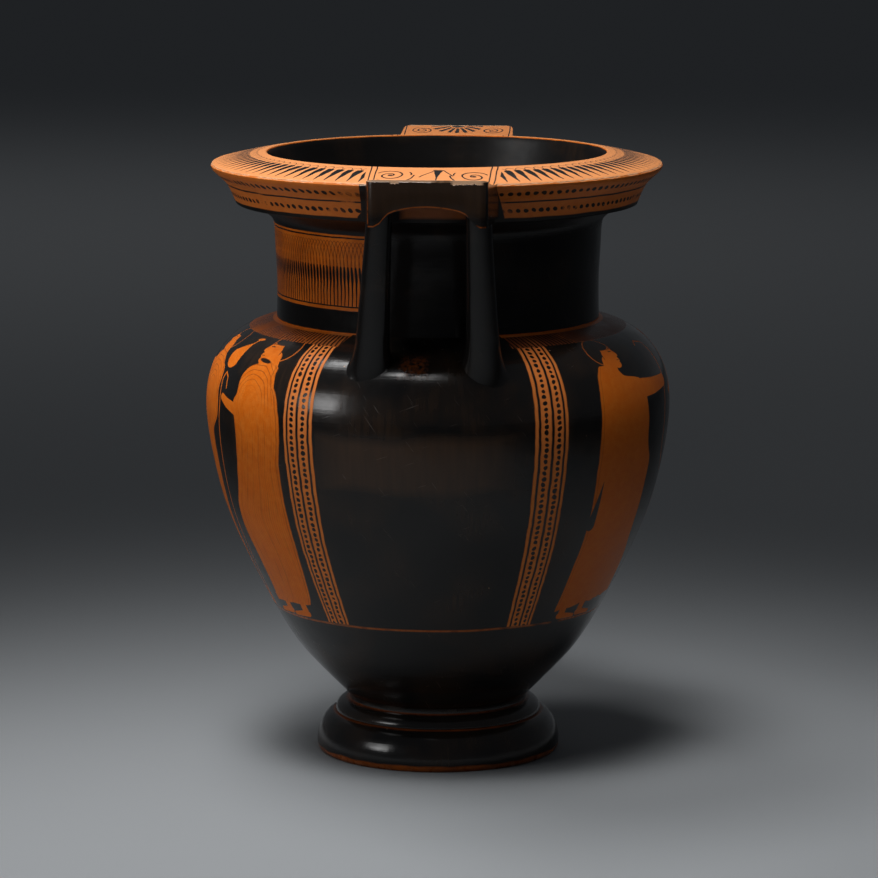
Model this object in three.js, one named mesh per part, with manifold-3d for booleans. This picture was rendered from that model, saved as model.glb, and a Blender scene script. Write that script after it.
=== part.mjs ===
// A Greek column krater, a wide-mouthed bowl for mixing wine, as one fired pot.
// It is hollow and open at the top, with two handles of paired columns under flat plates.
// Millimetres, +Z up. The origin is the centre of the foot's resting ring, on the table.
// The handles lie along -Y and +Y, and the two painted sides face -X and +X.
import * as THREE from 'three';
import * as BufferGeometryUtils from 'three/addons/utils/BufferGeometryUtils.js';
import Module from 'manifold-3d';

const wasm = await Module();
wasm.setup();

// ---- driving dimensions --------------------------------------------------------------
const FACETS = 64; // facets round the pot
const HEIGHT = 400; // table to lip
const WALL = 6.2; // fired wall of the bowl and the neck
const MOUTH_RADIUS = 111.5; // clear radius of the mouth at the lip
const NECK_RADIUS = 106.6; // outside of the neck where it stands on the shoulder
const SHOULDER_HEIGHT = 290.6; // where the neck stands on the shoulder
const BELLY_RADIUS = 153.2; // greatest radius of the bowl
const BELLY_HEIGHT = 235;

const FOOT = {
  hollowHeight: 27, // top of the hollow under the foot
  restInner: 66, // resting ring, inner and outer radius
  restOuter: 79.2,
  discRadius: 80.8, // bulging disc of the foot
  discBelly: 5, // height at which the disc is widest
  ledgeRadius: 68.6, // step between the disc and the fillet above it
  ledgeHeight: 25.8,
  waistRadius: 60.4, // top of the fillet, under the bowl
  waistHeight: 34.2,
};

const RIM = {
  lowRadius: 132.4, // lower edge of the overhanging rim
  lowHeight: 367,
  tipRadius: 148.9, // outermost edge
  tipHeight: 391,
};

const PLATE = {
  top: 399.6, // outer edge of the handle plates, level with the lip
  reach: 185, // distance of that edge from the axis
  dip: 393.2, // top where the plate leaves the sloping rim
  dipReach: 144,
  outerHalfWidth: 37.6,
  rimHalfWidth: 41,
  root: 118, // inner end, buried in the rim
  cornerRadius: 4,
  archCrown: 382.3, // underside at the middle of the plate
  archSpring: 378.4, // underside where the arch turns down to the ends
  endDrop: 369.6, // underside of the two thick ends
};

const COLUMN = {
  headHeight: 384, // axis end, buried in the plate's thick end
  headReach: 166, // distance of that end from the pot's axis
  headHalfSpacing: 30.6,
  footHeight: 260, // axis end, buried in the shoulder
  footReach: 125,
  footHalfSpacing: 36.3,
  facets: 14,
};

// Hand-built handles: the near one stands a little askew, the far one is straight.
const HANDLES = [
  { turn: 0, plateShift: 7.5, footShift: 2.8 },
  { turn: Math.PI, plateShift: 0, footShift: 0 },
];

// ---- helpers -------------------------------------------------------------------------
const at = (radius, height) => new THREE.Vector2(radius, height);

// A closed three.js geometry as a solid that can be joined and cut.
function toSolid(geometry) {
  const bare = geometry.clone();
  bare.deleteAttribute('normal');
  bare.deleteAttribute('uv');
  const merged = BufferGeometryUtils.mergeVertices(bare, 1e-4);
  return new wasm.Manifold(new wasm.Mesh({
    numProp: 3,
    vertProperties: merged.attributes.position.array,
    triVerts: new Uint32Array(merged.index.array),
  }));
}

// The solid back as a geometry with smooth groups left flat.
function toGeometry(solid) {
  const mesh = solid.getMesh();
  const geometry = new THREE.BufferGeometry();
  geometry.setAttribute('position', new THREE.BufferAttribute(mesh.vertProperties, 3));
  geometry.setIndex(new THREE.BufferAttribute(mesh.triVerts, 1));
  geometry.computeVertexNormals();
  return geometry;
}

// A turned solid from an outline of (radius, height) points that starts and ends on the axis.
function turned(outline, facets = FACETS) {
  const geometry = new THREE.LatheGeometry(outline, facets);
  geometry.rotateX(Math.PI / 2);
  return geometry;
}

// Points of a quarter ellipse from its widest point up to its crown.
function quarterRound(innerRadius, outerRadius, baseHeight, crownHeight, steps) {
  const points = [];
  for (let i = 0; i <= steps; i += 1) {
    const turn = (i / steps) * (Math.PI / 2);
    points.push(at(
      innerRadius + (outerRadius - innerRadius) * Math.cos(turn),
      baseHeight + (crownHeight - baseHeight) * Math.sin(turn),
    ));
  }
  return points;
}

// ---- the thrown pot ------------------------------------------------------------------
// The bowl's outer curve, from the foot's waist up over the belly to the foot of the neck.
const bowlCurve = new THREE.SplineCurve([
  at(59.2, 37.6),
  at(76, 54.8),
  at(93.8, 75),
  at(107.2, 96.5),
  at(119.6, 120),
  at(131.6, 144.8),
  at(141.5, 170),
  at(148.3, 196.5),
  at(152.4, 221),
  at(BELLY_RADIUS, BELLY_HEIGHT),
  at(151.6, 250.5),
  at(144.6, 268),
  at(128, 283.2),
  at(NECK_RADIUS, SHOULDER_HEIGHT),
]);

// A copy of the bowl's curve, moved inwards by the wall.
function innerBowl(steps) {
  const points = [];
  for (let i = 1; i < steps; i += 1) {
    const place = bowlCurve.getPoint(i / steps);
    const along = bowlCurve.getTangent(i / steps);
    points.push(at(place.x - along.y * WALL, place.y + along.x * WALL));
  }
  return points;
}

function footOutline() {
  return [
    at(0, FOOT.hollowHeight),
    at(52, 15),
    at(62, 4),
    at(FOOT.restInner, 0),
    at(FOOT.restOuter, 0),
    ...quarterRound(FOOT.ledgeRadius, FOOT.discRadius, FOOT.discBelly, FOOT.ledgeHeight, 5),
    ...quarterRound(FOOT.waistRadius, FOOT.ledgeRadius, FOOT.ledgeHeight + 0.6, FOOT.waistHeight, 3),
  ];
}

function neckOutline() {
  return [at(NECK_RADIUS, 318), at(107.4, 344), at(109.2, 354.5), at(113.6, 361.4), at(122, 365.6)];
}

function rimOutline() {
  return [
    at(RIM.lowRadius - 1.6, RIM.lowHeight - 0.6),
    at(RIM.lowRadius + 0.6, RIM.lowHeight + 1.6),
    at(136.4, 376),
    at(139, 380.6),
    at(144.8, 385.8),
    at(148.2, 389),
    at(RIM.tipRadius, RIM.tipHeight),
    at(146.6, 393.3),
  ];
}

// The whole outside, closed flat across the mouth.
const outside = turned([
  ...footOutline(),
  ...bowlCurve.getPoints(17),
  ...neckOutline(),
  ...rimOutline(),
  at(MOUTH_RADIUS + 2.4, HEIGHT - 0.2),
  at(MOUTH_RADIUS + 1, HEIGHT),
  at(0, HEIGHT),
]);

// The hollow, from its rounded floor up through the neck and out above the mouth.
const hollow = turned([
  at(0, 47),
  at(38, 49),
  ...innerBowl(10),
  at(NECK_RADIUS - WALL, 292),
  at(NECK_RADIUS - WALL, 318),
  at(100.6, 346),
  at(104.4, 372),
  at(109.2, 390),
  at(MOUTH_RADIUS - 0.5, 397.6),
  at(MOUTH_RADIUS + 0.4, HEIGHT + 0.2),
  at(MOUTH_RADIUS + 0.4, HEIGHT + 20),
  at(0, HEIGHT + 20),
]);

// ---- the handles ---------------------------------------------------------------------
// The plate seen from above: straight sides that widen a little towards the rim.
function platePlan() {
  const { reach, root, outerHalfWidth: outer, rimHalfWidth: inner, cornerRadius: r } = PLATE;
  const plan = new THREE.Shape();
  plan.moveTo(-inner, -root);
  plan.lineTo(-outer, -reach + r);
  plan.quadraticCurveTo(-outer, -reach, -outer + r, -reach);
  plan.lineTo(outer - r, -reach);
  plan.quadraticCurveTo(outer, -reach, outer, -reach + r);
  plan.lineTo(inner, -root);
  plan.closePath();
  return plan;
}

// The plate seen from its outer edge: a slab that drops to a thick end over each column.
function plateFace() {
  const { top, archCrown, archSpring, endDrop, rimHalfWidth: half } = PLATE;
  const face = new THREE.Shape();
  face.moveTo(-half, top + 5);
  face.lineTo(-half, endDrop + 6);
  face.quadraticCurveTo(-half, endDrop, -34, endDrop);
  face.quadraticCurveTo(-30, endDrop + 1, -24, archSpring);
  face.quadraticCurveTo(0, archCrown + 4, 24, archSpring);
  face.quadraticCurveTo(30, endDrop + 1, 34, endDrop);
  face.quadraticCurveTo(half, endDrop, half, endDrop + 6);
  face.lineTo(half, top + 5);
  face.closePath();
  return face;
}

// The plate seen from its side: it leaves the rim low and curves up to its outer edge.
function plateSide() {
  const { top, reach, root, dip, dipReach } = PLATE;
  const side = new THREE.Shape();
  side.moveTo(-root, 350);
  side.lineTo(-root, dip + 3);
  side.lineTo(-dipReach, dip);
  side.quadraticCurveTo(-(dipReach + reach) / 2, dip + 0.8, -reach, top);
  side.lineTo(-reach, 350);
  side.closePath();
  return side;
}

function plateSolid() {
  const slab = new THREE.ExtrudeGeometry(platePlan(), {
    depth: PLATE.top - 350, bevelEnabled: false, curveSegments: 3,
  });
  slab.translate(0, 0, 350);
  const face = new THREE.ExtrudeGeometry(plateFace(), {
    depth: 2 * PLATE.reach, bevelEnabled: false, curveSegments: 4,
  });
  face.rotateX(Math.PI / 2);
  const side = new THREE.ExtrudeGeometry(plateSide(), {
    depth: 2 * PLATE.rimHalfWidth, bevelEnabled: false, curveSegments: 5,
  });
  side.rotateX(Math.PI / 2);
  side.rotateZ(Math.PI / 2);
  side.translate(-PLATE.rimHalfWidth, 0, 0);
  return toSolid(slab).intersect(toSolid(face)).intersect(toSolid(side));
}

// One round column, slender under the plate and flaring where it is luted to the shoulder.
function columnSolid(foot, head) {
  const length = foot.distanceTo(head);
  const flare = new THREE.SplineCurve([
    at(17.4, 0),
    at(13.2, 0.14 * length),
    at(10.2, 0.28 * length),
    at(8.4, 0.52 * length),
    at(7.3, length),
  ]);
  const outline = [at(0, 0), ...flare.getPoints(6), at(0, length)];
  const column = new THREE.LatheGeometry(outline, COLUMN.facets);
  const direction = head.clone().sub(foot).normalize();
  column.applyQuaternion(new THREE.Quaternion().setFromUnitVectors(
    new THREE.Vector3(0, 1, 0), direction,
  ));
  column.translate(foot.x, foot.y, foot.z);
  return toSolid(column);
}

// A whole handle, built on the -Y side and then turned to its own side.
function handleSolid({ turn, plateShift, footShift }) {
  let handle = plateSolid().translate([plateShift, 0, 0]);
  for (const side of [-1, 1]) {
    const foot = new THREE.Vector3(
      footShift + side * COLUMN.footHalfSpacing, -COLUMN.footReach, COLUMN.footHeight,
    );
    const head = new THREE.Vector3(
      plateShift + side * COLUMN.headHalfSpacing, -COLUMN.headReach, COLUMN.headHeight,
    );
    handle = handle.add(columnSolid(foot, head));
  }
  return handle.rotate([0, 0, THREE.MathUtils.radToDeg(turn)]);
}

// ---- the pot as one piece ------------------------------------------------------------
let pot = toSolid(outside);
for (const handle of HANDLES) {
  pot = pot.add(handleSolid(handle));
}
pot = pot.subtract(toSolid(hollow));

const glaze = new THREE.MeshStandardMaterial({ color: 0x15110e, roughness: 0.3, metalness: 0 });
const krater = new THREE.Mesh(toGeometry(pot), glaze);
krater.name = 'krater';

const model = new THREE.Group();
model.add(krater);

export default model;
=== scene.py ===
"""A Greek column krater, a wide bowl for mixing wine, finished as red-figure pottery.

The pot is one fired piece. It is shaped here in the sections a potter throws and lutes
together (foot, bowl, neck, rim and two handles), and each section is painted with the
bands, borders and draped figures of its place.

Sizes are millimetres unless a name says otherwise. The handles lie along -Y and +Y, and
the two painted sides face -X (side A) and +X (side B).
"""

import logging
import math
from dataclasses import dataclass
from enum import Enum
from functools import reduce
from typing import Callable, Iterable, Sequence

import bpy
import numpy as np
from mathutils import Matrix, Vector


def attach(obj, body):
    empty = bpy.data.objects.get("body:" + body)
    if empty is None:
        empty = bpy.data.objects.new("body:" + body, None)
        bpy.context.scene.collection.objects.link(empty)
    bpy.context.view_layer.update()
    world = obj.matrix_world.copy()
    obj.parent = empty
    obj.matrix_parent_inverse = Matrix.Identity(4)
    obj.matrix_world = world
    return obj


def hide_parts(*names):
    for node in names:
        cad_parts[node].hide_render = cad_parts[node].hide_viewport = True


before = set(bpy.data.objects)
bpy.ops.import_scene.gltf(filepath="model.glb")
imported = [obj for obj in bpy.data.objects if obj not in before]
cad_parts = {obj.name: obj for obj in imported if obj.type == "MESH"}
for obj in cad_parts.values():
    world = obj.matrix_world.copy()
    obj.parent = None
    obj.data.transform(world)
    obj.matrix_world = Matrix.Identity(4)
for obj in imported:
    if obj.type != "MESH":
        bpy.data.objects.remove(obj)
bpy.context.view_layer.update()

logging.basicConfig(level=logging.INFO, format="%(message)s")
log = logging.getLogger("krater")

MM = 0.001
STEPS = 192  # facets round every turned section
WELD = 0.002  # millimetres within which two points of a section become one
BEYOND = 1000.0  # millimetres, past the end of any outline
Point = tuple[float, float]
Colour = tuple[float, float, float]


class Side(Enum):
    """The two painted sides of the pot, by the sign of X."""

    A = -1
    B = 1


# ---- small geometry helpers ----------------------------------------------------------
def deselect() -> None:
    """Leaves object mode with nothing selected."""
    if bpy.context.object is not None and bpy.context.object.mode != "OBJECT":
        bpy.ops.object.mode_set(mode="OBJECT")
    bpy.ops.object.select_all(action="DESELECT")


def pick(piece: bpy.types.Object) -> None:
    """Selects one piece alone, ready to be worked on."""
    deselect()
    piece.select_set(True)
    bpy.context.view_layer.objects.active = piece


def face_outwards() -> None:
    """Turns all faces of the piece in edit mode outwards, and leaves edit mode."""
    bpy.ops.mesh.select_all(action="SELECT")
    bpy.ops.mesh.normals_make_consistent(inside=False)
    bpy.ops.object.mode_set(mode="OBJECT")


def smooth_line(points: Sequence[Point], count: int) -> list[Point]:
    """Runs a natural cubic spline through points.

    Args:
        points: the points to pass through, in order.
        count: how many points to return, evenly spaced along the line.

    Returns:
        The points of the smooth line, first and last as given.
    """
    known = np.array(points, float)
    gaps = np.hypot(*np.diff(known, axis=0).T)
    knots = np.concatenate([[0.0], np.cumsum(gaps)])
    size = len(known)
    system, pulls = np.eye(size), np.zeros((size, 2))
    for i in range(1, size - 1):
        system[i, i - 1:i + 2] = gaps[i - 1], 2 * (gaps[i - 1] + gaps[i]), gaps[i]
        pulls[i] = 6 * ((known[i + 1] - known[i]) / gaps[i]
                        - (known[i] - known[i - 1]) / gaps[i - 1])
    bends = np.linalg.solve(system, pulls)
    line = []
    for t in np.linspace(0, knots[-1], count):
        i = min(int(np.searchsorted(knots, t, side="right")) - 1, size - 2)
        h, a, b = gaps[i], knots[i + 1] - t, t - knots[i]
        line.append((bends[i] * a ** 3 + bends[i + 1] * b ** 3) / (6 * h)
                    + (known[i] / h - bends[i] * h / 6) * a
                    + (known[i + 1] / h - bends[i + 1] * h / 6) * b)
    return [(float(p[0]), float(p[1])) for p in line]


def lengths_along(line: Sequence[Point]) -> np.ndarray:
    """How far along a line each of its points lies."""
    return np.concatenate([[0.0], np.cumsum(np.hypot(*np.diff(np.array(line), axis=0).T))])


def mm_per_degree(radius: float) -> float:
    """Millimetres to one degree of a circle."""
    return radius * math.pi / 180


def quarter_round(inner: float, outer: float, base: float, crown: float, steps: int) -> list[Point]:
    """Runs a quarter of an ellipse from its widest point up to its crown.

    Args:
        inner: radius of its crown.
        outer: radius of its widest point.
        base: height of its widest point.
        crown: height of its crown.
        steps: number of straight runs.

    Returns:
        (radius, height) points, from the widest point upwards.
    """
    turns = [i / steps * math.pi / 2 for i in range(steps + 1)]
    return [(inner + (outer - inner) * math.cos(t), base + (crown - base) * math.sin(t))
            for t in turns]


def turn_on_wheel(name: str, outline: Sequence[Point], closed: bool = False) -> bpy.types.Object:
    """Throws one section: draws its outline point by point and spins it round the axis.

    Args:
        name: name of the section.
        outline: (radius, height) points, in millimetres.
        closed: True for a ring, whose outline comes back to its start.

    Returns:
        The section, closed, with its normals outwards.
    """
    deselect()
    bpy.ops.mesh.primitive_plane_add(size=MM)
    piece = bpy.context.object
    piece.name = piece.data.name = name
    bpy.ops.object.mode_set(mode="EDIT")
    bpy.ops.mesh.select_all(action="SELECT")
    bpy.ops.mesh.merge(type="CENTER")
    radius, height = outline[0]
    bpy.ops.transform.translate(value=(radius * MM, 0, height * MM))
    path = list(outline) + ([outline[0]] if closed else [])
    for (r0, z0), (r1, z1) in zip(path, path[1:]):
        bpy.ops.mesh.extrude_vertices_move(
            TRANSFORM_OT_translate={"value": ((r1 - r0) * MM, 0, (z1 - z0) * MM)})
    bpy.ops.mesh.select_all(action="SELECT")
    bpy.ops.mesh.spin(steps=STEPS, angle=2 * math.pi, center=(0, 0, 0), axis=(0, 0, 1))
    bpy.ops.mesh.select_all(action="SELECT")
    bpy.ops.mesh.remove_doubles(threshold=WELD * MM)
    face_outwards()
    return piece


def settle(piece: bpy.types.Object, depth: float = 0.35, grain: float = 45.0) -> None:
    """Gives a section the slight unevenness of hand-made work, as soft swells of its wall.

    Args:
        piece: the section.
        depth: how far the swells rise, in millimetres.
        grain: how wide they are, in millimetres.
    """
    swell = bpy.data.textures.get("hand swell") or bpy.data.textures.new("hand swell", "CLOUDS")
    swell.noise_scale = grain * MM
    swell.noise_depth = 1
    pick(piece)
    lift = piece.modifiers.new("hand", "DISPLACE")
    lift.texture, lift.texture_coords = swell, "LOCAL"
    lift.strength, lift.mid_level = depth * MM, 0.5
    bpy.ops.object.modifier_apply(modifier=lift.name)


def smooth(piece: bpy.types.Object, angle: float = 38.0) -> None:
    """Shades a piece smooth, with true edges where its faces meet more sharply than angle."""
    pick(piece)
    bpy.ops.object.shade_smooth_by_angle(angle=math.radians(angle))


# ---- painting with shader nodes ------------------------------------------------------
class Field:
    """A number known at every point of a surface, held as a socket of the material."""

    def __init__(self, brush: "Brush", socket: bpy.types.NodeSocket) -> None:
        """Ties the number to its brush and socket."""
        self.brush, self.socket = brush, socket

    def __add__(self, other: "Number") -> "Field":
        """The sum of two numbers."""
        return self.brush.math("ADD", self, other)

    __radd__ = __add__

    def __sub__(self, other: "Number") -> "Field":
        """This number less the other."""
        return self.brush.math("SUBTRACT", self, other)

    def __rsub__(self, other: "Number") -> "Field":
        """The other number less this one."""
        return self.brush.math("SUBTRACT", other, self)

    def __mul__(self, other: "Number") -> "Field":
        """The product of two numbers."""
        return self.brush.math("MULTIPLY", self, other)

    __rmul__ = __mul__

    def __truediv__(self, other: "Number") -> "Field":
        """This number over the other."""
        return self.brush.math("DIVIDE", self, other)

    def __abs__(self) -> "Field":
        """The number without its sign."""
        return self.brush.math("ABSOLUTE", self)

    def either(self, other: "Number") -> "Field":
        """The larger of two numbers: paint where either stroke lies."""
        return self.brush.math("MAXIMUM", self, other)

    def both(self, other: "Number") -> "Field":
        """The smaller of two numbers: paint only where both strokes lie."""
        return self.brush.math("MINIMUM", self, other)

    def without(self, other: "Field") -> "Field":
        """This stroke, wiped away where the other lies."""
        return self * (1 - other)

    def step(self, edge: "Number", slope: float) -> "Field":
        """A soft step between 0 and 1.

        Args:
            edge: where the step is half way up.
            slope: its rise to the unit, below zero for a step down.

        Returns:
            The step, level beyond its two ends.
        """
        if isinstance(edge, Field):
            return self.brush.math("MULTIPLY_ADD", self - edge, slope, 0.5, clamp=True)
        return self.brush.math("MULTIPLY_ADD", self, slope, 0.5 - edge * slope, clamp=True)

    def over(self, edge: "Number", soft: float = 0.3) -> "Field":
        """1 where the number is above edge, 0 below it, with a soft step."""
        return self.step(edge, 1 / soft)

    def under(self, edge: "Number", soft: float = 0.3) -> "Field":
        """1 where the number is below edge, 0 above it, with a soft step."""
        return self.step(edge, -1 / soft)

    def within(self, low: "Number", high: "Number", soft: float = 0.3) -> "Field":
        """1 between low and high."""
        return self.over(low, soft).both(self.under(high, soft))

    def line(self, place: "Number", width: "Number", soft: float = 0.3) -> "Field":
        """A stroke of a width where the number passes a place."""
        return abs(self - place).under(width * 0.5, soft)

    def repeat(self, pitch: float) -> "Field":
        """The number folded into -pitch/2 .. pitch/2, again and again."""
        return self.brush.math("WRAP", self, pitch / 2, -pitch / 2)


Number = Field | float
Place = tuple[Field, Field]


def joined(strokes: Iterable[Field]) -> Field:
    """All of the strokes as one."""
    return reduce(Field.either, strokes)


class Brush:
    """Lays nodes in one material, and joins fields into colours, gloss and relief."""

    def __init__(self, name: str) -> None:
        """Starts an empty material.

        Args:
            name: name of the material.
        """
        self.material = bpy.data.materials.new(name)
        self.material.use_nodes = True
        self.tree = self.material.node_tree
        self.tree.nodes.clear()
        self.place = self.add("ShaderNodeTexCoord").outputs["Object"]
        self.grain: dict[tuple, Field] = {}

    def add(self, kind: str, **settings: object) -> bpy.types.Node:
        """Adds a node.

        Args:
            kind: the node's type.
            settings: its settings, by name.

        Returns:
            The node, with its settings made.
        """
        node = self.tree.nodes.new(kind)
        for key, value in settings.items():
            setattr(node, key, value)
        return node

    def put(self, socket: bpy.types.NodeSocket, value: object) -> None:
        """Joins or sets one input.

        Args:
            socket: the input.
            value: a field or a socket to join to it, or a constant to set it to.
        """
        if isinstance(value, Field):
            value = value.socket
        if isinstance(value, bpy.types.NodeSocket):
            self.tree.links.new(value, socket)
        else:
            socket.default_value = value

    def math(self, kind: str, *terms: Number, clamp: bool = False) -> Field:
        """Works out one sum.

        Args:
            kind: the operation.
            terms: its one to three numbers.
            clamp: True to hold the result between 0 and 1.

        Returns:
            The result.
        """
        node = self.add("ShaderNodeMath", operation=kind, use_clamp=clamp)
        for socket, term in zip(node.inputs, terms):
            self.put(socket, term)
        return Field(self, node.outputs[0])

    def axes(self) -> tuple[Field, Field, Field]:
        """Finds where the surface point lies.

        Returns:
            Its x, y and z in millimetres.
        """
        split = self.add("ShaderNodeSeparateXYZ")
        scaled = self.add("ShaderNodeVectorMath", operation="SCALE")
        self.put(scaled.inputs[0], self.place)
        scaled.inputs["Scale"].default_value = 1 / MM
        self.put(split.inputs[0], scaled.outputs[0])
        return tuple(Field(self, out) for out in split.outputs)

    def bearing(self, x: Field, y: Field) -> Field:
        """Degrees round the pot from the near handle (-Y) towards side B (+X)."""
        return self.math("ARCTAN2", x, y * -1) * (180 / math.pi)

    def away(self, across: Field, up: Field, across_weight: float = 1.0,
             up_weight: float = 1.0) -> Field:
        """Distance from a middle point, round or oval.

        Args:
            across: distance from it one way.
            up: distance from it at right angles to that.
            across_weight: weight of the first distance's square, 1 for a round.
            up_weight: weight of the second distance's square.

        Returns:
            The distance.
        """
        squares = [part * part if weight == 1.0 else part * part * weight
                   for part, weight in ((across, across_weight), (up, up_weight))]
        return self.math("SQRT", squares[0] + squares[1])

    def vector(self, x: Number, y: Number, z: Number = 0.0) -> bpy.types.NodeSocket:
        """Joins three numbers into one vector.

        Args:
            x: its first number.
            y: its second number.
            z: its third number.

        Returns:
            The vector's socket.
        """
        node = self.add("ShaderNodeCombineXYZ")
        for socket, value in zip(node.inputs, (x, y, z)):
            self.put(socket, value)
        return node.outputs[0]

    def noise(self, size: float, detail: float = 2.0, roughness: float = 0.5,
              at: bpy.types.NodeSocket | None = None) -> Field:
        """Cloudy noise, laid once for each choice of its settings.

        Args:
            size: size of its clouds, in millimetres.
            detail: octaves of finer noise.
            roughness: strength of each finer octave.
            at: the vector it reads, in millimetres if given; else the object's own metres.

        Returns:
            The noise, 0 to 1 about 0.5.
        """
        key = (size, detail, roughness, at)
        if key not in self.grain:
            node = self.add("ShaderNodeTexNoise")
            self.put(node.inputs["Vector"], at if at is not None else self.place)
            node.inputs["Scale"].default_value = 1 / size if at is not None else 1 / (size * MM)
            node.inputs["Detail"].default_value = detail
            node.inputs["Roughness"].default_value = roughness
            self.grain[key] = Field(self, node.outputs["Fac"])
        return self.grain[key]

    def sway(self, size: float, swing: float, detail: float = 1, roughness: float = 0.5) -> Field:
        """The unsteadiness of a hand: noise about 0, up to half a swing either way."""
        return (self.noise(size, detail, roughness) - 0.5) * swing

    def flecks(self, size: float, reach: float) -> Field:
        """Scatters small round spots, one to a cell.

        Args:
            size: width of a cell, in millimetres.
            reach: radius of a spot, as a share of its cell.

        Returns:
            Where the spots lie.
        """
        node = self.add("ShaderNodeTexVoronoi", feature="F1")
        self.put(node.inputs["Vector"], self.place)
        node.inputs["Scale"].default_value = 1 / (size * MM)
        return Field(self, node.outputs["Distance"]).under(reach, reach * 0.6)

    def scratches(self, across: Field, up: Field) -> Field:
        """Fine scratches in two slanting directions, from handling.

        Args:
            across: millimetres round the pot.
            up: millimetres up the section.

        Returns:
            Where the scratches lie.
        """
        stretch, squeeze, layer = 0.055, 1.1, 9
        marks = []
        for lean in (0.35, -0.95):
            cos, sin = math.cos(lean), math.sin(lean)
            grain = self.vector((across * cos + up * sin) * stretch,
                                (up * cos - across * sin) * squeeze, lean * layer)
            marks.append(self.noise(1.0, 1, 0.5, grain).over(0.775, 0.05))
        return joined(marks)

    def attribute(self, name: str) -> Field:
        """A number stored on the mesh."""
        node = self.add("ShaderNodeAttribute", attribute_name=name)
        return Field(self, node.outputs["Fac"])

    def blob(self, at: Place, middle: Point, radii: Point, lean: float = 0.0,
             soft: float = 0.4) -> Field:
        """An oval of paint.

        Args:
            at: millimetres forward of and above the drawing's middle.
            middle: the oval's own middle, forward and up.
            radii: its two radii.
            lean: its lean, in degrees.
            soft: softness of its edge.

        Returns:
            Where the oval lies.
        """
        cos, sin = math.cos(math.radians(lean)), math.sin(math.radians(lean))
        p, q = at[0] - middle[0], at[1] - middle[1]
        a, b = (p * cos + q * sin) / radii[0], (q * cos - p * sin) / radii[1]
        return self.away(a, b).under(1.0, soft / min(radii))

    def stroke(self, at: Place, start: Point, end: Point, width: float, taper: float = 1.0,
               soft: float = 0.35) -> Field:
        """A straight stroke with round ends.

        Args:
            at: millimetres forward of and above the drawing's middle.
            start: where the stroke starts, forward and up.
            end: where it ends.
            width: its width at the start.
            taper: its width at the end, as a share of that at the start.
            soft: softness of its edge.

        Returns:
            Where the stroke lies.
        """
        dx, dy = end[0] - start[0], end[1] - start[1]
        length = dx * dx + dy * dy
        p, q = at[0] - start[0], at[1] - start[1]
        along = self.math("MULTIPLY_ADD", p * (dx / length) + q * (dy / length), 1.0, 0.0, clamp=True)
        gap = self.away(p - along * dx, q - along * dy)
        return gap.under((along * (taper - 1) + 1) * (width / 2), soft)

    def curve(self, along: Field, points: Sequence[Point], smooth_curve: bool = True) -> Field:
        """A number drawn as a curve over another.

        Args:
            along: the number it runs along.
            points: (along, value) points, rising along.
            smooth_curve: False for straight runs between the points.

        Returns:
            The curve's value, held level beyond its ends.
        """
        starts = [p[0] for p in points]
        values = [p[1] for p in points]
        low, high = min(starts), max(starts)
        base = min(values)
        span = max(max(values) - base, 1e-6)
        node = self.add("ShaderNodeFloatCurve")
        drawn = node.mapping.curves[0]
        while len(drawn.points) > 2:
            drawn.points.remove(drawn.points[0])
        for i, (place, value) in enumerate(points):
            spot = ((place - low) / (high - low), (value - base) / span)
            point = drawn.points[i] if i < 2 else drawn.points.new(*spot)
            point.location = spot
        for point in drawn.points:
            point.handle_type = "AUTO" if smooth_curve else "VECTOR"
        node.mapping.update()
        self.put(node.inputs["Value"],
                 self.math("MULTIPLY_ADD", along, 1 / (high - low), -low / (high - low), clamp=True))
        return Field(self, node.outputs[0]) * span + base

    def mix(self, share: Number, first: object, second: object) -> bpy.types.NodeSocket:
        """A colour between two.

        Args:
            share: 0 for the first colour, 1 for the second.
            first: a colour, or the socket of one.
            second: likewise.

        Returns:
            The colour's socket.
        """
        node = self.add("ShaderNodeMix", data_type="RGBA")
        self.put(node.inputs[0], share)
        for socket, value in ((node.inputs[6], first), (node.inputs[7], second)):
            self.put(socket, (*value, 1.0) if isinstance(value, tuple) else value)
        return node.outputs[2]


@dataclass(frozen=True)
class Gloss:
    """The black gloss: a fine iron slip, fired black, brushed on in broad strokes."""

    deep: Colour = (0.0055, 0.0048, 0.0045)
    # brown of misfired gloss, also the colour of the reflection band painted on the bowl
    brown: Colour = (0.045, 0.023, 0.011)
    speck: Colour = (0.30, 0.19, 0.12)
    scratch: Colour = (0.075, 0.060, 0.050)
    roughness: float = 0.17
    uneven: float = 0.12
    cloud_size: float = 38.0
    patch_size: float = 11.0
    misfire_depth: float = 0.42
    speck_spacing: float = 24.0
    speck_reach: float = 0.024


@dataclass(frozen=True)
class Clay:
    """The reserved clay: orange-red, burnished, with a thin ochre wash."""

    warm: Colour = (0.60, 0.128, 0.005)
    pale: Colour = (0.65, 0.200, 0.026)
    dull: Colour = (0.38, 0.072, 0.003)
    # paler clay, partly painted sheen on the tops
    light: Colour = (0.52, 0.225, 0.085)
    # thin brown slip, also used for painted shade
    slip_and_shade: Colour = (0.10, 0.022, 0.004)
    # pale clay of chips, also used for painted highlights along edges
    bare: Colour = (0.52, 0.31, 0.18)
    roughness: float = 0.40
    grain_size: float = 4.5


GLOSS = Gloss()
CLAY = Clay()


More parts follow.
